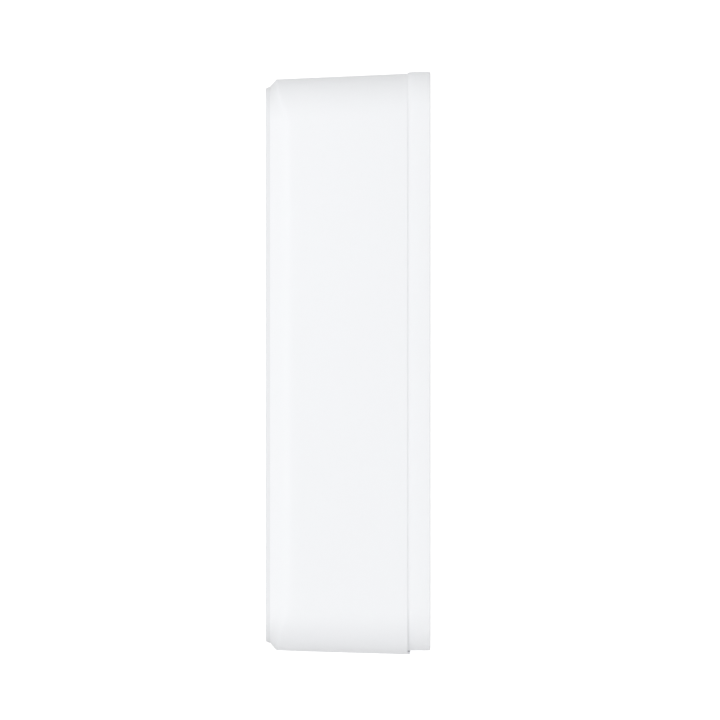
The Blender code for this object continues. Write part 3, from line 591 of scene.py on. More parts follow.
POCKET_INSET = 1.7  # the front cover's boss sits in a pocket this far inside the outline
Y_POCKET = COVER_HIGH.y + GAP
Y_CAVITY = Y_POCKET + 1.5
LEDGE_Y = REAR_LOW.y - GAP
SEAT = (23.7, 67.1, 9.7, -0.66)
WALL = 2.0
LIP_HALF, LIP_THICK, Y_LIP = 13.0, 0.55, -4.72  # the housing's bottom edge runs on under the bracket


def housing():
    body = loft("housing", housing_sections())
    inner_front = (DRAFT_END[0] - 2.3, DRAFT_END[1] - 2.6, DRAFT_END[2] - WALL, DRAFT_END[3])
    hollow = loft("hollow", [
        (Y_CAVITY, inset(inner_front, 0.6)),
        (Y_CAVITY + 0.6, inner_front),
        (Y_DRAFT_END, inset(DRAFT_END, WALL)),
        (LEDGE_Y, inset(REAR_RIM, WALL)),
        (LEDGE_Y, SEAT),
        (HOUSING_HIGH.y + 2, SEAT),
    ])
    pocket = loft("pocket", [
        (Y_POCKET, inset(front_face(), POCKET_INSET)), (HOUSING_LOW.y - 2, inset(front_face(), POCKET_INSET)),
    ])
    through = (HOUSING_LOW.y - 2, Y_CAVITY + 2)
    pir = box_mm("pir_lens")
    flap = box_mm("usb_cover")
    bottom = (HOUSING_LOW.z - 3, flap[0].z + 1.1 + GAP)
    cut(
        body, hollow, pocket,
        bore("camera_hole", (0, CAMERA_Z), box_mm("camera_window")[1].x + GAP, through, 64),
        bore("button_hole", (0, BUTTON_Z), box_mm("light_ring")[1].x + GAP, through, 64),
        bore("mic_hole", (0, MIC_Z), 1.2, through, 24),
        slab("pir_hole", (pir[0].x - GAP, pir[1].x + GAP), through,
             (pir[0].z - GAP, pir[1].z + GAP), 3.4, 8),
    )
    for x, z in COVER_POSTS:
        join(body, boss("cover_post", x, z, 2.8, Y_CAVITY - 0.4, -9.6))
    for x, z in ((-17.0, 29.0), (17.0, -52.5)):
        join(body, boss("board_post", x, z, 2.6, Y_CAVITY - 0.4, -30.7))
    lip_foot = REAR_RIM[3] - REAR_RIM[1]
    join(body, upright_slab("lip", (-LIP_HALF, LIP_HALF), (HOUSING_HIGH.y - 1.5, Y_LIP),
                            (lip_foot, lip_foot + LIP_THICK), 0.3))
    security = [(0, -67.6), (3.1, -67.6), (3.1, -62.3), (2.8, -62.0), (0, -62.0)]
    join(body, revolved("security_boss", (0, SECURITY_Y), security, 32, upright=True))
    cut(
        body,
        revolved("counterbore", (0, SECURITY_Y), [
            (0, -72), (2.95, -72), (2.95, -69.3), (2.4, -68.6), (2.4, -64.3), (1.5, -64.3), (1.5, -60),
            (0, -60),
        ], 40, upright=True),
        upright_slab("flap_recess", (flap[0].x - GAP, flap[1].x + GAP),
                     (flap[0].y - GAP, flap[1].y + GAP), bottom, 0.9),
        upright_slab("socket_hole", (-4.9, 4.9), (SOCKET_Y - 2.1, SOCKET_Y + 2.3), (-72, -64.5), 1.6),
    )
    slots = [
        upright_slab("slot", (-9, 9), (y - 0.6, y + 0.6), (-72, -64), 0.58)
        for y in np.linspace(-32.2, -23.8, 5)
    ]
    cut(body, *slots)
    soften(body, 0.12, 2)
    return stand_in(body, "main_housing", angle=30)


def boss(name, x, z, radius, y_root, y_end):
    """A screw post with a pilot hole, standing on the front wall."""
    profile = [(0, y_root), (radius + 0.7, y_root), (radius + 0.7, y_root + 0.7), (radius, y_root + 2.2),
               (radius - 0.15, y_end - 0.3), (radius - 0.5, y_end), (1.5, y_end), (1.3, y_end - 0.2),
               (1.3, y_end - 5.0), (0, y_end - 5.0)]
    if y_end - y_root < 8:
        profile = [(0, y_root), (radius, y_root), (radius, y_end - 0.3), (radius - 0.3, y_end), (1.5, y_end),
                   (1.3, y_end - 0.2), (1.3, y_end - 3.2), (0, y_end - 3.2)]
    return revolved(name, (x, z), profile, 32)


def front_cover():
    face = front_face()
    low, high = COVER_LOW.y, COVER_HIGH.y
    plate_back = Y_HOUSING_FRONT - HAIRLINE
    taper = plate_back - low
    sections = []
    for step in range(ARC_STEPS + 2):
        angle = math.radians(90 * step / (ARC_STEPS + 1))
        reach = FRONT_ROUND * (1 - math.cos(angle))
        along = FRONT_ROUND * (1 - math.sin(angle))
        inward = PLATE_TAPER * (1 - along / taper) + reach
        sections.append((low + along, edge_outline(FRONT_EDGE_DEPTH, inward)))
    sections = sections[::-1]
    sections += [
        (plate_back, edge_outline(FRONT_EDGE_DEPTH, -0.01)),
        (plate_back, inset(face, 2.0)), (high - 0.15, inset(face, 2.0)), (high, inset(face, 2.15)),
    ]
    plate = loft("front_plate", sections)
    window = middle_radius("camera_window") - 1.1 + GAP
    ring = middle_radius("light_ring") - 1.0 + GAP
    holes = [countersunk("window_hole", CAMERA_Z, window, low, high, 0.35),
             countersunk("ring_hole", BUTTON_Z, ring, low, high, 0.35),
             countersunk("mic_hole", MIC_Z, 0.7, low, high, 0.3, 24)]
    pir = (7.5 + GAP, 5.5 + GAP, 2.4 + GAP, PIR_Z)
    holes.append(loft("pir_hole", [
        (low - 1, inset(pir, -0.55)), (low + 0.02, inset(pir, -0.28)), (low + 0.3, pir), (high + 1, pir),
    ], 8))
    cut(plate, *holes)
    soften(plate, 0.06, 1, 50)
    # The plate takes the darker copy of the housing's white, with its shade painted in
    return stand_in(plate, "front_cover", EXTRA["front_white_painted_shade"], 30)


def middle_radius(node):
    low, high = box_mm(node)
    return (high.x - low.x) / 2


def countersunk(name, z, radius, low, high, edge, steps=96):
    """A cutter for a round hole with a softened front rim."""
    profile = [(0, low - 1), (radius + edge * 1.6, low - 1), (radius + edge * 0.9, low + 0.02),
               (radius + edge * 0.35, low + edge * 0.25), (radius, low + edge * 0.9), (radius, high + 1),
               (0, high + 1)]
    return revolved(name, (0, z), profile, steps)


def bracket():
    low, high = BRACKET_LOW, BRACKET_HIGH
    outline = (high.x, high.z, BRACKET_CORNER, 0.0)
    front = HOUSING_HIGH.y
    sections = []
    for share in np.linspace(0.0, 1.0, ARC_STEPS + 1):
        angle = math.radians(90 * share)
        back_off = BRACKET_BACK_ROUND * (1 - math.sin(angle))
        sections.append((-BRACKET_BACK_ROUND * (1 - math.cos(angle)), inset(outline, back_off)))
    for forward, drop in BRACKET_SLOPE:
        sections.append((front + forward, (high.x, high.z - drop / 2, BRACKET_CORNER, -drop / 2)))
    plate = loft("bracket_plate", sections)
    through = (front - 2, 2.0)
    cutters = [slab("window", (-12, 12), through, span, 1.2, 6) for span in ((-40, -12), (12, 40))]
    for z in (51.0, -50.0):
        slot = (2.4, 4.8, 2.39, z)
        cutters.append(loft("screw_slot", [
            (through[0], inset(slot, -2.4)), (-2.6, inset(slot, -2.4)), (-1.6, inset(slot, -1.2)),
            (-1.6, slot), (through[1], slot),
        ], 10))
    cut(plate, *cutters)
    for x in TONGUES_X:
        join(plate, slab("tongue", (x - 2.5, x + 2.5), (TONGUE_TIP_Y, front + 0.5), (58.0, 60.0), 0.6))
    join(plate, slab("tab", (-5, 5), (low.y, front + 0.5), (-61.3, -58.7), 0.5))
    cut(plate, bore("tab_hole", (0, SECURITY_Y), 1.45, (-64, -56), 24, upright=True))
    cut(plate, *[
        slab("rib_gap", (x - 2.2, x + 2.2), (-0.8, 2.0), (-44.0, 44.0), 2.0, 8) for x in (-18.5, 18.5)
    ])
    soften(plate, 0.12, 2)
    return stand_in(plate, "wall_bracket", angle=30)


def rear_cover():
    outline = (REAR_HIGH.x, (REAR_HIGH.z - REAR_LOW.z) / 2, 9.4, (REAR_HIGH.z + REAR_LOW.z) / 2)
    back, inner = REAR_HIGH.y, COVER_INNER_Y
    through = (back + OVER, inner - OVER)
    plate = loft("rear_plate", [
        (back, inset(outline, 0.4)), (back - 0.12, inset(outline, 0.12)), (back - 0.4, outline),
        (inner + 0.2, outline), (inner, inset(outline, 0.2)),
    ])
    cutters = []
    for centre in COVER_POSTS:
        cutters.append(revolved("counterbore", centre, [
            (0, back + 1), (2.9, back + 1), (2.55, back - 0.02), (2.4, back - 0.2), (2.4, back - 1.6),
            (1.3, back - 1.6), (1.3, inner - 1), (0, inner - 1),
        ], 40))
    cutters += [bore("terminal_hole", centre, 1.5, through, 24) for centre in TERMINALS]
    for x in TONGUES_X:
        cutters.append(slab("tongue_slot", (x - 2.9, x + 2.9), (inner - 1, back + 1), (57.0, 60.4), 0.5))
    cutters.append(slab("tab_slot", (-5.5, 5.5), (inner - 1, back + 1), (-61.9, -58.0), 0.6))
    for x, radius in ((0.0, 2.5), (PLUNGER_X, 1.8)):
        cutters.append(revolved("button_hole", (x, CONTROLS_Z), [
            (0, back + 1), (radius + 0.4, back + 1), (radius + 0.25, back), (radius, back - 0.25),
            (radius, inner - 1), (0, inner - 1),
        ], 40))
    cut(plate, *cutters)
    for x in (-10.3, 10.3):
        join(plate, revolved("standoff", (x, 24.4), [
            (0, inner + 0.5), (1.3, inner + 0.5), (1.3, -11.7), (1.1, -11.9), (0, -11.9)
        ], 24))
    soften(plate, 0.1, 2)
    return stand_in(plate, "rear_cover", angle=30)


def housing_seal():
    """The seal between the housing and its rear cover, with a raised bead along its middle."""
    low, high = box_mm("housing_seal")
    outline = (high.x, (high.z - low.z) / 2, 8.6, (high.z + low.z) / 2)
    bm = bmesh.new()
    width = 1.2
    profile = filleted([
        (0.0, low.y), (0.0, high.y - 0.35), (0.35, high.y - 0.35), (0.6, high.y), (0.85, high.y - 0.35),
        (width, high.y - 0.35), (width, low.y),
    ], 0.18, 3, closed=True)
    rings = []
    for point in profile:
        rect = inset(outline, point.x)
        rings.append([bm.verts.new((x, point.y, z)) for x, z in rounded_rect(*rect, steps=14)])
    bridge(bm, rings, closed=True)
    return stand_in(to_object(bm, "rear_seal"), "housing_seal")


# ---------------------------------------------------------------- front features


def camera_window():
    """A domed window: a clear middle within a glossy black ring that carries the flange."""
    low, high = box_mm("camera_window")
    rim = middle_radius("camera_window") - 1.1
    front, step, back = low.y, -36.7, high.y

    def crown(start, end, count):
        return [(r, front + 0.02 + 0.16 * (r / rim) ** 2) for r in np.linspace(start, end, count)]

    clear = CLEAR_RADIUS - HAIRLINE
    middle_piece = revolved("window", (0, CAMERA_Z), [
        *crown(0.0, clear, 5), (clear, back - 0.45), (0, back - 0.45),
    ], 96)
    place(middle_piece, "camera_window", EXTRA["window_clear"], ("camera_window",))
    dome = crown(CLEAR_RADIUS, rim * 0.93, 5)
    outer = filleted([
        dome[-1], (rim, front + 0.35), (rim, step), (rim + 1.1, step), (rim + 1.1, back - 0.7),
        (rim - 0.4, back - 0.7), (rim - 0.4, back), (CLEAR_RADIUS + 0.35, back),
        (CLEAR_RADIUS, back - 0.4),
    ], [0, 0.3, 0, 0.15, 0.15, 0, 0.06, 0.06, 0], 4)
    ring = revolved("window_ring", (0, CAMERA_Z), [*dome[:-1], *outer], 96, closed=True)
    place(ring, "camera_window", EXTRA["printed_ring"])


def lens():
    """The camera's glass, its barrel with light-trap ridges, and the holder."""
    glass = box_mm("lens_glass")
    front, back = glass[0].y, glass[1].y
    radius = middle_radius("lens_glass")
    dome = [
        (radius * math.sin(angle), front + (back - 0.45 - front) * (1 - math.cos(angle)))
        for angle in np.linspace(0, math.pi / 2, 12)
    ]
    element = revolved("lens_element", (0, CAMERA_Z), [*dome, (radius, back), (0, back)], 64)
    place(element, "lens_glass", EXTRA["lens_coating"], ("lens_glass",), 60)
    low, high = box_mm("lens_barrel")
    ridges = []
    for turn in range(4):
        y = low.y + 0.25 + turn * 0.22
        r = 5.3 - turn * 0.22
        ridges += [(r, y - 0.08), (r - 0.2, y)]
    outer = filleted([
        (5.6, low.y), (6.2, low.y), (6.2, -33.3), (4.5, -33.3), (4.5, -28.4), (3.0, -28.4),
    ], [0.2, 0.3, 0.1, 0.1, 0.2, 0.1], 3)
    profile = [*outer, Vector((3.0, -33.5)), Vector((4.25, -33.5)), Vector((4.25, -34.1))]
    profile += [Vector(point) for point in reversed(ridges)]
    barrel = revolved("barrel", (0, CAMERA_Z), profile, 72, closed=True)
    stand_in(barrel, "lens_barrel", angle=25)
    square = slab("holder", (-9, 9), (-30.6, -26.3), (CAMERA_Z - 9, CAMERA_Z + 9), 1.6, 6)
    collar = revolved("collar", (0, CAMERA_Z), filleted([
        (0, -32.9), (6.2, -32.9), (6.2, -32.2), (9.4, -32.2), (9.4, -30.2), (0, -30.2),
    ], [0, 0.2, 0, 0.3, 0, 0], 3), 64)
    join(square, collar)
    cut(
        square,
        bore("bore", (0, CAMERA_Z), 4.8, (-35, -25), 48),
        slab("sensor_room", (-5, 5), (-28, -25), (CAMERA_Z - 5, CAMERA_Z + 5), 0.5),
    )
    soften(square, 0.15, 2)
    stand_in(square, "lens_holder", angle=30)


def camera_lights():
    """The lamp board round the lens, its infrared lamps with domed tops, and the light sensor."""
    low, high = box_mm("ir_board")
    ring = revolved("lamp_board", (0, CAMERA_Z), filleted([
        (6.9, low.y), (10.4, low.y), (10.4, high.y), (6.9, high.y),
    ], 0.08, 2, closed=True), 72, closed=True)
    stand_in(ring, "ir_board")
    for node in ("ir_led_left", "ir_led_right", "ring_led_left", "ring_led_right", "light_sensor"):
        lamp(node)


def lamp(node):
    """A small square lamp: a package with a shallow dome on its front."""
    low, high = box_mm(node)
    half = (high.x - low.x) / 2
    centre = (low + high) / 2
    shoulder = low.y + 0.35 * (high.y - low.y)
    package = slab("package", (low.x, high.x), (shoulder, high.y), (low.z, high.z), half * 0.18)
    dome = [
        (half * 0.78 * math.sin(angle), shoulder + 0.05 - (shoulder + 0.05 - low.y) * math.cos(angle))
        for angle in np.linspace(0, math.pi / 2, 7)
    ]
    foot = shoulder + 0.2
    join(package, revolved("dome", (centre.x, centre.z), [*dome, (half * 0.78, foot), (0, foot)], 32))
    package.name = node + "_lamp"
    stand_in(package, node, angle=50)


def pir_lens():
    """The motion sensor's milky lens: a grid of small domes within a flat rim."""
    low, high = box_mm("pir_lens")
    half_width, half_height, corner = 7.5, 5.5, 2.4
    front, flange, back = low.y, -36.7, high.y
    rect = (half_width, half_height, corner, PIR_Z)
    body = loft("sensor_lens", [
        (front + 0.3, inset(rect, 0.28)), (front + 0.38, inset(rect, 0.1)), (front + 0.55, rect),
        (flange, rect), (flange, inset(rect, -1.1)), (back - 0.1, inset(rect, -1.1)),
        (back, inset(rect, -1.0)),
    ], 10)
    cut(body, loft("hollow", [(-37.5, inset(rect, 1.3)), (back + 1, inset(rect, 1.0))], 8))
    soften(body, 0.08, 2)
    columns, rows = 5, 3
    span_x, span_z = 2 * (half_width - 0.75) / columns, 2 * (half_height - 0.75) / rows
    fine = 9
    bm = bmesh.new()
    grid = []
    for i in range(columns * fine + 1):
        column = []
        for k in range(rows * fine + 1):
            u, v = i / fine, k / fine
            across = 2 * ((u % 1.0) - 0.5)
            along = 2 * ((v % 1.0) - 0.5)
            height = 0.21 * (1 - across ** 2) * (1 - along ** 2) ** 0.8
            x = (u - columns / 2) * span_x
            z = PIR_Z + (v - rows / 2) * span_z
            column.append(bm.verts.new((x, front + 0.29 - height, z)))
        grid.append(column)
    for first, second in zip(grid, grid[1:]):
        for near, far in zip(range(len(first)), range(1, len(first))):
            bm.faces.new((first[near], second[near], second[far], first[far]))
    edge = [e for e in bm.edges if e.is_boundary]
    lowered = bmesh.ops.extrude_edge_only(bm, edges=edge)["geom"]
    bottom = [v for v in lowered if isinstance(v, bmesh.types.BMVert)]
    bmesh.ops.translate(bm, verts=bottom, vec=(0, 0.25, 0))
    bmesh.ops.contextual_create(bm, geom=[e for e in bm.edges if e.is_boundary])
    join(body, to_object(bm, "lenslets"))
    stand_in(body, "pir_lens", angle=50)
    can = box_mm("pir_sensor")
    sensor = revolved("sensor_can", (0, PIR_Z), filleted([
        (0, can[0].y + 0.25), (1.9, can[0].y + 0.25), (1.9, can[0].y), (4.4, can[0].y), (4.4, -31.3),
        (4.9, -31.3), (4.9, can[1].y), (0, can[1].y),
    ], [0, 0.1, 0.1, 0.55, 0.15, 0.15, 0.1, 0], 4), 48)
    stand_in(sensor, "pir_sensor")


def call_button():
    """The dished button, the ring of light round it, and the switch below."""
    low, high = box_mm("button_cap")
    front, back = low.y, high.y
    dish = [(7.2 * share, front + 0.26 * (1 - share ** 2) ** 1.5 + 0.004) for share in np.linspace(0, 1, 10)]
    edge = filleted([
        (7.2, front), (8.45, front), (9.0, front + 0.5), (9.0, -35.2), (10.0, -35.2), (10.0, back),
        (7.6, back), (7.6, -37.0), (2.0, -37.0), (2.0, -34.3),
    ], [0, 0.9, 0.4, 0, 0.15, 0.15, 0, 0.5, 0.5, 0.2], 5)
    cap = revolved("call_button", (0, BUTTON_Z), [*dish, *edge[1:], (0, -34.3)], 96)
    stand_in(cap, "button_cap", angle=35)
    low, high = box_mm("light_ring")
    inner = 9.3
    ring = revolved("glow_ring", (0, BUTTON_Z), filleted([
        (inner, low.y + 0.25), (inner + 0.28, low.y), (10.7, low.y), (11.0, low.y + 0.25), (11.0, -36.7),
        (12.0, -36.7), (12.0, high.y), (inner, high.y),
    ], [0.2, 0.3, 0.3, 0.2, 0, 0.1, 0.1, 0.1], 4, closed=True), 96, closed=True)
    stand_in(ring, "light_ring", angle=35)
    low, high = box_mm("button_seal")
    seal = revolved("button_gasket", (0, BUTTON_Z), filleted([
        (8.0, low.y + 0.4), (8.9, low.y + 0.4), (9.2, low.y), (9.5, low.y + 0.4), (10.4, low.y + 0.4),
        (10.4, high.y), (8.0, high.y),
    ], 0.12, 3, closed=True), 72, closed=True)
    stand_in(seal, "button_seal", angle=35)
    low, high = box_mm("switch_stem")
    stem = revolved("stem", (0, BUTTON_Z), filleted([
        (0, low.y), (1.5, low.y), (1.5, high.y), (0, high.y)
    ], [0, 0.25, 0.1, 0], 4), 32)
    stand_in(stem, "switch_stem")
    low, high = box_mm("tact_switch")
    body = slab("switch_body", (low.x, high.x), (low.y + 0.25, high.y), (low.z, high.z), 0.5)
    shell = slab("switch_shell", (low.x + 0.35, high.x - 0.35), (low.y, high.y - 1.0),
                 (low.z + 0.35, high.z - 0.35), 0.5)
    join(body, shell)
    cut(body, bore("stem_bore", (0, BUTTON_Z), 1.9, (-36, -31.4)))
    soften(body, 0.08, 2)
    stand_in(body, "tact_switch", angle=30)


def microphone():
    low, high = box_mm("microphone")
    can = slab("mic_can", (low.x, high.x), (low.y, high.y), (low.z, high.z), 0.35)
    cut(can, bore("port", (0, MIC_Z), 0.45, (low.y - OVER, low.y + 0.3), 24))
    soften(can, 0.1, 2)
    stand_in(can, "microphone", angle=30)
    low, high = box_mm("mic_seal")
    boot = revolved("mic_boot", (0, MIC_Z), filleted([
        (0.8, low.y), (1.9, low.y), (1.9, low.y + 0.6), (2.4, low.y + 0.9), (2.4, high.y), (0.8, high.y),
    ], 0.15, 3, closed=True), 40, closed=True)
    stand_in(boot, "mic_seal")


# ---------------------------------------------------------------- screws and metal parts

THREAD_PITCH = 0.5


def threaded(root, crest, start, count):
    """The profile of `count` rolled thread ridges, as (radius, place along the screw)."""
    profile = []
    for turn in range(count):
        place = start + turn * THREAD_PITCH
        profile += [(root, place), (crest, place + 0.14), (crest, place + 0.22), (root, place + 0.36)]
    return profile


def driven_screw(node, head_height, slotted):
    """A pan-head screw along Y with a cross recess, and a slot across it if `slotted`."""
    low, high = box_mm(node)
    centre = (low + high) / 2
    tip, front, back = low.y, high.y - head_height, high.y
    turns = max(1, int((front - tip - 1.0) / THREAD_PITCH))
    profile = [
        (0, tip), (0.45, tip + 0.02), (0.72, tip + 0.3), *threaded(0.8, 1.0, tip + 0.5, turns),
        (0.85, front - 0.15), (0.95, front),
    ]
    radius = 2.1
    crown = filleted([(radius * 0.6, front), (radius, front), (radius, back - 0.35), (radius * 0.72, back),
                      (0, back)], [0, 0.12, 0.5, 0.4, 0], 4)
    body = revolved(node + "_screw", (centre.x, centre.z), [*profile, *crown], 40)
    recesses = [(1.25, 0.27, 0.55), (0.27, 1.25, 0.55)] + [(3, 0.28, 0.4)] * slotted
    for x, z, depth in recesses:
        cut(body, slab("recess", (centre.x - x, centre.x + x), (back - depth, back + OVER),
                       (centre.z - z, centre.z + z)))
    soften(body, 0.05, 1, 50)
    return stand_in(body, node, angle=35)


def screws():
    for number in range(1, 5):
        driven_screw(f"cover_screw_{number}", 1.15, False)
    for number in (1, 2):
        driven_screw(f"board_screw_{number}", 1.2, False)
    for side in ("left", "right"):
        driven_screw(f"terminal_screw_{side}", 1.6, True)


def terminal_plates():
    """A clamp plate with raised wire guides under each terminal screw."""
    for side in ("left", "right"):
        node = f"terminal_plate_{side}"
        low, high = box_mm(node)
        centre = (low + high) / 2
        thin = low.y + 0.35
        plate = slab("plate", (low.x, high.x), (low.y, thin), (low.z, high.z), 0.7, 6)
        for z in (low.z + 0.9, high.z - 0.9):
            join(plate, slab("guide", (low.x + 0.7, high.x - 0.7), (thin - 0.1, high.y),
                             (z - 0.5, z + 0.5), 0.4))
        cut(plate, bore("hole", (centre.x, centre.z), 1.5, (low.y - OVER, high.y + OVER)))
        soften(plate, 0.1, 2)
        stand_in(plate, node, angle=30)


def security_screw():
    """The tamper-proof screw in the bottom face: a hexagonal socket with a pin in its middle."""
    low, high = box_mm("security_screw")
    base, tip = low.z, high.z
    head = filleted([(0, base), (2.1, base), (2.1, base + 1.8), (0.95, base + 1.8)], [0, 0.45, 0.12, 0], 4)
    turns = int((tip - base - 3.0) / THREAD_PITCH)
    profile = [*head, *threaded(0.9, 1.1, base + 2.1, turns), (0.9, tip - 0.6), (0.6, tip), (0, tip)]
    body = revolved("tamper_screw", (0, SECURITY_Y), profile, 40, upright=True)
    cut(body, bore("socket", (0, SECURITY_Y), 1.05, (base - OVER, base + 1.0), 6, upright=True))
    join(body, revolved("pin", (0, SECURITY_Y), [(0, base + 0.25), (0.3, base + 0.3), (0.35, base + 1.2),
                                                 (0, base + 1.2)], 20, upright=True))
    soften(body, 0.05, 1, 50)
    stand_in(body, "security_screw", angle=35)


def rear_controls():
    high = box_mm("sync_button")[1]
    cap = revolved("pairing_cap", (0, CONTROLS_Z), filleted([
        (0, -9.6), (1.2, -9.6), (1.2, -9.0), (3.2, -9.0), (3.2, -8.1), (2.1, -8.1), (2.1, high.y),
        (1.35, high.y), (1.1, high.y - 0.22), (0, high.y - 0.22),
    ], [0, 0.25, 0.15, 0.2, 0.2, 0.1, 0.5, 0.1, 0.2, 0], 4), 48)
    stand_in(cap, "sync_button", angle=35)
    high = box_mm("tamper_plunger")[1]
    plunger = revolved("wall_plunger", (PLUNGER_X, CONTROLS_Z), filleted([
        (0, -9.9), (0.9, -9.9), (0.9, -9.0), (2.5, -9.0), (2.5, -8.1), (1.4, -8.1), (1.4, high.y - 0.5),
        (1.1, high.y), (0, high.y),
    ], [0, 0.2, 0.1, 0.2, 0.2, 0.1, 0.5, 0.6, 0], 5), 40)
    stand_in(plunger, "tamper_plunger", angle=35)
    for node in ("sync_switch", "tamper_switch"):
        low, high = box_mm(node)
        body = slab("switch", (low.x, high.x), (low.y, high.y - 0.2), (low.z, high.z), 0.35)
        cap = [(0, high.y - 0.5), (1.2, high.y - 0.5), (1.2, high.y - 0.08), (1.05, high.y), (0, high.y)]
        centre = middle(node)
        join(body, revolved("plunger_pad", (centre.x, centre.z), cap, 28))
        soften(body, 0.06, 2)
        stand_in(body, node, angle=30)


# ---------------------------------------------------------------- socket, flap and speaker


def charging_socket():
    low, high = box_mm("usb_port")
    y = (low.y, high.y)
    shell = pill("port_shell", (low.x, high.x), y, (low.z, high.z))
    cut(shell, pill("port_hollow", (low.x + 0.32, high.x - 0.32), (low.y + 0.32, high.y - 0.32),
                    (low.z - 1, high.z - 0.9)))
    join(shell, upright_slab("tongue_root", (-3.6, 3.6), (SOCKET_Y - 0.7, SOCKET_Y + 0.7),
                             (high.z - 2.4, high.z - 0.5), 0.3))
    soften(shell, 0.05, 2)
    stand_in(shell, "usb_port", angle=30)
    tongue = upright_slab("contact_tongue", (-3.3, 3.3), (SOCKET_Y - 0.33, SOCKET_Y + 0.33),
                          (low.z + 0.8, high.z - 2.2), 0.2)
    soften(tongue, 0.06, 2)
    place(tongue, "usb_port", EXTRA["chip_black"], angle=30)
    pads = None
    for side in (-1, 1):
        for x in np.linspace(-2.75, 2.75, 12):
            face = SOCKET_Y + side * 0.33
            pad = slab("contact", (x - 0.13, x + 0.13), (face - 0.04, face + 0.04),
                       (low.z + 1.2, low.z + 3.6), 0.05, 2)
            pads = joined_meshes([pads, pad]) if pads else pad
    pads.name = "socket_contacts"
    place(pads, "usb_port", EXTRA["contact_gold"])
    low, high = box_mm("usb_cover")
    base = low.z
    flap = upright_slab("flap", (low.x, high.x), (low.y, high.y), (base, base + 1.1), 0.9)
    cut(flap, upright_slab("thumb_dip", (-2.6, 2.6), (high.y - 0.55, high.y + 1),
                           (base - 1, base + 0.4), 0.5))
    for offset in (-0.55, 0.0, 0.55):
        y = high.y - 1.45 + offset
        cut(flap, upright_slab("groove", (-2.2, 2.2), (y - 0.12, y + 0.12), (base - 1, base + 0.18), 0.1))
    join(flap, pill("plug", (-4.0, 4.0), (SOCKET_Y - 1.25, SOCKET_Y + 1.25), (base + 0.9, high.z)))
    soften(flap, 0.14, 3)
    stand_in(flap, "usb_cover", angle=35)


def joined_meshes(objects):
    """One object out of several that don't touch."""
    first, *others = objects
    bm = bmesh.new()
    for obj in objects:
        bm.from_mesh(obj.data)
    bm.to_mesh(first.data)
    bm.free()
    for other in others:
        bpy.data.objects.remove(other)
    return first


def sound():
    low, high = box_mm("speaker_mesh")
    stand_in(grille(low, high), "speaker_mesh", EXTRA["speaker_weave"], 30)
    low, high = box_mm("speaker_unit")
    body = upright_slab("speaker_box", (low.x, high.x), (low.y, high.y), (low.z + 1.0, high.z), 1.6)
    join(body, upright_slab("speaker_rim", (low.x + 0.7, high.x - 0.7), (low.y + 0.7, high.y - 0.7),
                            (low.z, low.z + 1.4), 1.2))
    cut(body, upright_slab("cone_room", (low.x + 1.6, high.x - 1.6), (low.y + 1.6, high.y - 1.6),
                           (low.z - 1, low.z + 0.9), 0.9))
    soften(body, 0.15, 2)
    stand_in(body, "speaker_unit", angle=30)
    cone = upright_slab("cone", (low.x + 1.5, high.x - 1.5), (low.y + 1.5, high.y - 1.5),
                        (low.z + 0.5, low.z + 1.0), 1.0)
    join(cone, dome("cone_dome", ((low.x + high.x) / 2, (low.y + high.y) / 2), low.z + 0.55, 2.6, -0.45))
    place(cone, "speaker_unit", MATERIALS["rubber"], angle=50)


def grille(low, high):
    """The speaker's cloth: a flat sheet with a slightly thicker edge at each end."""
    sheet = upright_slab("grille", (low.x, high.x), (low.y, high.y), (low.z + 0.08, high.z - 0.08), 0.8)
    for x in (low.x + 0.7, high.x - 0.7):
        join(sheet, upright_slab("edge", (x - 0.5, x + 0.5), (low.y + 0.2, high.y - 0.2),
                                 (low.z, high.z), 0.3))
    return sheet


def dome(name, centre, z, radius, height):
    steps = 8
    profile = [
        (radius * math.sin(angle), z + height * math.cos(angle))
        for angle in np.linspace(0, math.pi / 2, steps)
    ]
    return revolved(name, centre, [*profile, (radius, z + 0.3), (0, z + 0.3)], 40, upright=True)


# ---------------------------------------------------------------- battery and boards

LEG_LENGTH = 0.55


def battery():
    for node in ("battery_cell_left", "battery_cell_right"):
        low, high = box_mm(node)
        centre = (low + high) / 2
        radius = (high.x - low.x) / 2
        cell = revolved("cell_sleeve", (centre.x, centre.y), filleted([
            (0, low.z + 0.35), (radius - 1.2, low.z + 0.35), (radius - 1.0, low.z), (radius, low.z),
            (radius, high.z - 0.9), (radius - 1.3, high.z - 0.9), (radius - 1.35, high.z - 1.05),
            (6.4, high.z - 1.05), (6.4, high.z - 0.9), (3.2, high.z - 0.9), (3.2, high.z), (0, high.z),
        ], [0, 0.1, 0.1, 0.6, 0.7, 0.1, 0, 0.05, 0, 0.1, 0.35, 0], 4), 64, upright=True)
        stand_in(cell, node, angle=35)
    low, high = box_mm("battery_cradle")
    stand_in(cradle(low, high), "battery_cradle", angle=30)
    low, high = box_mm("battery_pad")
    pad = slab("pad", (low.x, high.x), (low.y, high.y), (low.z, high.z), 1.0, 6)
    soften(pad, 0.12, 2)
    stand_in(pad, "battery_pad", angle=35)


def cradle(low, high):
    """The cells' tray: open at the back, with finger cut-outs and gates for the wires."""
    tray = slab("tray", (low.x, high.x), (low.y, high.y), (low.z, high.z), 1.2, 6)
    cut(tray, slab("room", (low.x + 1.2, high.x - 1.2), (low.y + 1.0, high.y + 1),
                   (low.z + 1.2, high.z - 1.2), 0.6, 4))
    for z in (low.z + 18, high.z - 18):
        for x in (low.x, high.x):
            cut(tray, slab("finger_room", (x - 2, x + 2), (high.y - 5.0, high.y + 1), (z - 6, z + 6)))
    for x in (low.x + 8, high.x - 8):
        cut(tray, slab("wire_gate", (x - 1.5, x + 1.5), (high.y - 1.8, high.y + 1), (high.z - 2, high.z + 1)))
    soften(tray, 0.15, 2)
    return tray


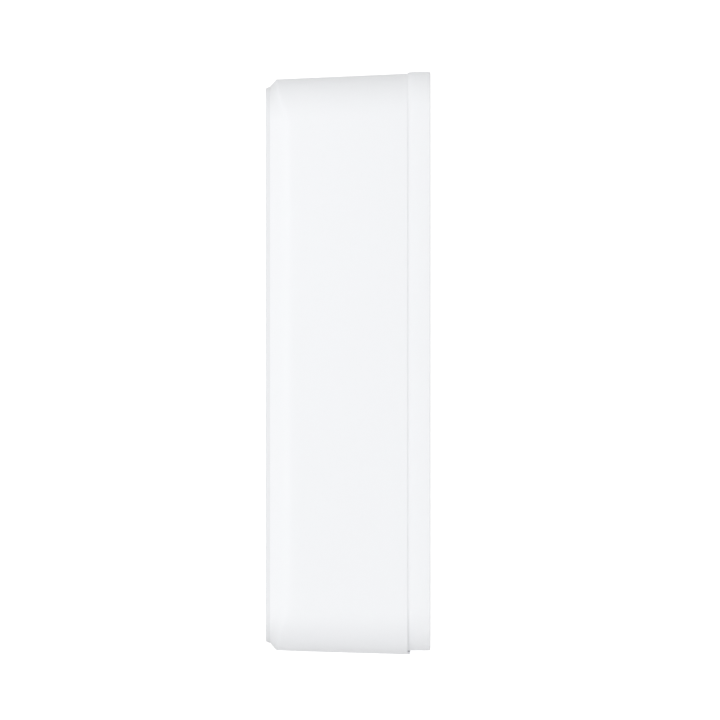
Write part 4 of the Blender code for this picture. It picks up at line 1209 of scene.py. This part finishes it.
def chip(name, x, y, z):
    """A packaged part on the main board: a block with bevelled edges."""
    body = slab(name, x, y, z, 0.25)
    soften(body, 0.06, 2)
    place(body, "main_board", EXTRA["chip_black"], angle=35)


def legs(name, x, y, z, count):
    """A row of bright legs on either side of a chip."""
    pieces = []
    for span in ((x[0] - LEG_LENGTH, x[0]), (x[1], x[1] + LEG_LENGTH)):
        for share in np.linspace(0.08, 0.92, count):
            level = z[0] + share * (z[1] - z[0])
            pieces.append(slab("leg", span, (y[0], y[0] + 0.14), (level - 0.13, level + 0.13)))
    row = joined_meshes(pieces)
    row.name = name
    place(row, "main_board", MATERIALS["tinned_steel"])


def boards():
    """The boards' small parts. Each sits on its board's face and moves with the doorbell."""
    front, back = (corner.y for corner in box_mm("main_board"))
    chip("connector_battery", (13.0, 17.0), (back, back + 0.25), (21.6, 25.2))
    for x, z, half_x, half_z in ((-14.5, -25.0, 2.4, 3.4), (-14.0, -8.0, 2.0, 2.0), (14.5, -18.0, 1.8, 2.6)):
        across, up = (x - half_x, x + half_x), (z - half_z, z + half_z)
        chip("front_chip", across, (front - 1.0, front), up)
        legs("front_legs", across, (front - 0.14, front), up, 8)
    tans = []
    for x, z in ((-8, -12), (-6, -12), (-4, -12), (4, -17), (6, -17), (8, -17), (8, 20), (10, 20), (12, 20),
                 (-12, 21), (-10, 21), (-16, -38), (-16, -40), (16, -38), (16, -42)):
        tans.append(slab("capacitor", (x - 0.8, x + 0.8), (front - 0.7, front), (z - 0.4, z + 0.4), 0.1, 2))
    row = joined_meshes(tans)
    row.name = "capacitors"
    place(row, "main_board", EXTRA["ceramic_tan"])


# ---------------------------------------------------------------- the model


def dress_the_rest():
    """Gives every carried-over node its finish."""
    for node, obj in NODES.items():
        obj.data.materials.clear()
        obj.data.materials.append(MATERIALS[SLOT_OF[node]])
        smooth(obj, 35)


for make in (
    housing, front_cover, bracket, rear_cover, housing_seal, camera_window, lens, camera_lights, pir_lens,
    call_button, microphone, screws, terminal_plates, security_screw, rear_controls, charging_socket, sound,
    battery, boards, dress_the_rest,
):
    make()


# ---------------------------------------------------------------- room, light and camera


def floor():
    """A pale disc under the object, out of the main view."""
    bm = bmesh.new()
    profile = filleted([(0, 0), (420, 0), (420, -6), (0, -6)], [0, 2.0, 2.0, 0], 6)
    rings = []
    for radius, z in [(p.x, p.y + FLOOR_Z) for p in profile if p.x > 0]:
        rings.append([
            bm.verts.new((radius * math.cos(a), radius * math.sin(a), z))
            for a in np.linspace(0, 2 * math.pi, 96, endpoint=False)
        ])
    disc = capped(bm, rings, "floor")
    smooth(disc, 40)
    disc.data.materials.append(moulded("floor_paint", (0.9, 0.9, 0.905), 0.6, 0.8, 0.01, 0.01))


FLOOR_Z = -520.0
WORLD_BASE = 0.646
WORLD_SIDES = 0.36  # extra light from +X, the side that the photo is taken from
WORLD_POWER = 2.0  # how narrow that light is
WORLD_CARD = 0.6  # extra light from the white backdrop, at -X
WORLD_CARD_POWER = 30.0
WORLD_LIFT = -0.035  # how much the light falls off upwards
WORLD_RING = 2.2  # extra light from the ring of lamps round the front
RING_FROM, RING_TO = 0.27, 0.4  # the ring's rims, as the share of its direction that points forward
RING_SOFT = 0.06
RING_NEAR = (-0.6, -0.25)  # the ring fades in between these shares of +X, so that its far side is dark
KEY_PLACE, KEY_SIZE, KEY_POWER = (1.3, -0.9, -0.5), 1.2, 1.2  # metres, metres, watts


def world():
    """A white light tent: a bright near side, a white backdrop, and the near part of a ring of lamps."""
    tent = bpy.data.worlds.new("light_tent")
    tent.use_nodes = True
    tree = tent.node_tree
    split = tree.nodes.new("ShaderNodeSeparateXYZ")
    feed(tree, split, Vector=tree.nodes.new("ShaderNodeTexCoord").outputs["Generated"])
    x, y, z = (split.outputs[axis] for axis in "XYZ")

    def lobe(side, power):
        """One at the end of the X axis on that side, and falling to nothing at a right angle to it."""
        share = math_node(tree, "MULTIPLY", x, side, clamp=True)
        return math_node(tree, "POWER", share, power)

    def step(source, start, end):
        """Nothing at `start` and one at `end`, with a smooth change between."""
        node = tree.nodes.new("ShaderNodeMapRange")
        node.interpolation_type = "SMOOTHSTEP"
        return feed(tree, node, From_Min=start, From_Max=end, Value=source).outputs["Result"]

    def plus(first, gain, second):
        return math_node(tree, "MULTIPLY_ADD", first, gain, second)

    strength = plus(lobe(1.0, WORLD_POWER), WORLD_SIDES, WORLD_BASE)
    strength = plus(lobe(-1.0, WORLD_CARD_POWER), WORLD_CARD, strength)
    strength = plus(z, WORLD_LIFT, strength)
    ring = math_node(
        tree, "MULTIPLY", step(y, RING_SOFT - RING_FROM, -RING_SOFT - RING_FROM),
        step(y, -RING_SOFT - RING_TO, RING_SOFT - RING_TO),
    )
    ring = math_node(tree, "MULTIPLY", ring, step(x, *RING_NEAR))
    background = tree.nodes["Background"]
    feed(tree, background, Color=(1.0, 1.0, 1.0, 1.0), Strength=plus(ring, WORLD_RING, strength))
    bpy.context.scene.world = tent


def aimed(obj, place, aim):
    """Puts a light or a camera in the scene, in metres, and turns it to its aim."""
    obj.location = place
    obj.rotation_euler = (Vector(aim) - Vector(place)).to_track_quat("-Z", "Y").to_euler()
    bpy.context.scene.collection.objects.link(obj)
    return obj


def key_light():
    data = bpy.data.lights.new("key", "AREA")
    data.shape = "SQUARE"
    data.size = KEY_SIZE
    data.energy = KEY_POWER
    aimed(bpy.data.objects.new("key", data), KEY_PLACE, (0.0, 0.0, 0.0))


CAMERA_LENS = 900.0  # millimetres: far off and long, so that the side view is nearly parallel
CAMERA_DISTANCE = 4.255
CAMERA_AIM = Vector((0.0, -0.01660, 0.00028))


def camera():
    data = bpy.data.cameras.new("camera")
    data.lens = CAMERA_LENS
    data.sensor_width = 36.0
    data.clip_end = 20.0
    place = CAMERA_AIM + Vector((CAMERA_DISTANCE, 0.0, 0.0))
    bpy.context.scene.camera = aimed(bpy.data.objects.new("camera", data), place, CAMERA_AIM)


floor()
world()
key_light()
camera()
bpy.context.scene.view_settings.view_transform = "Standard"
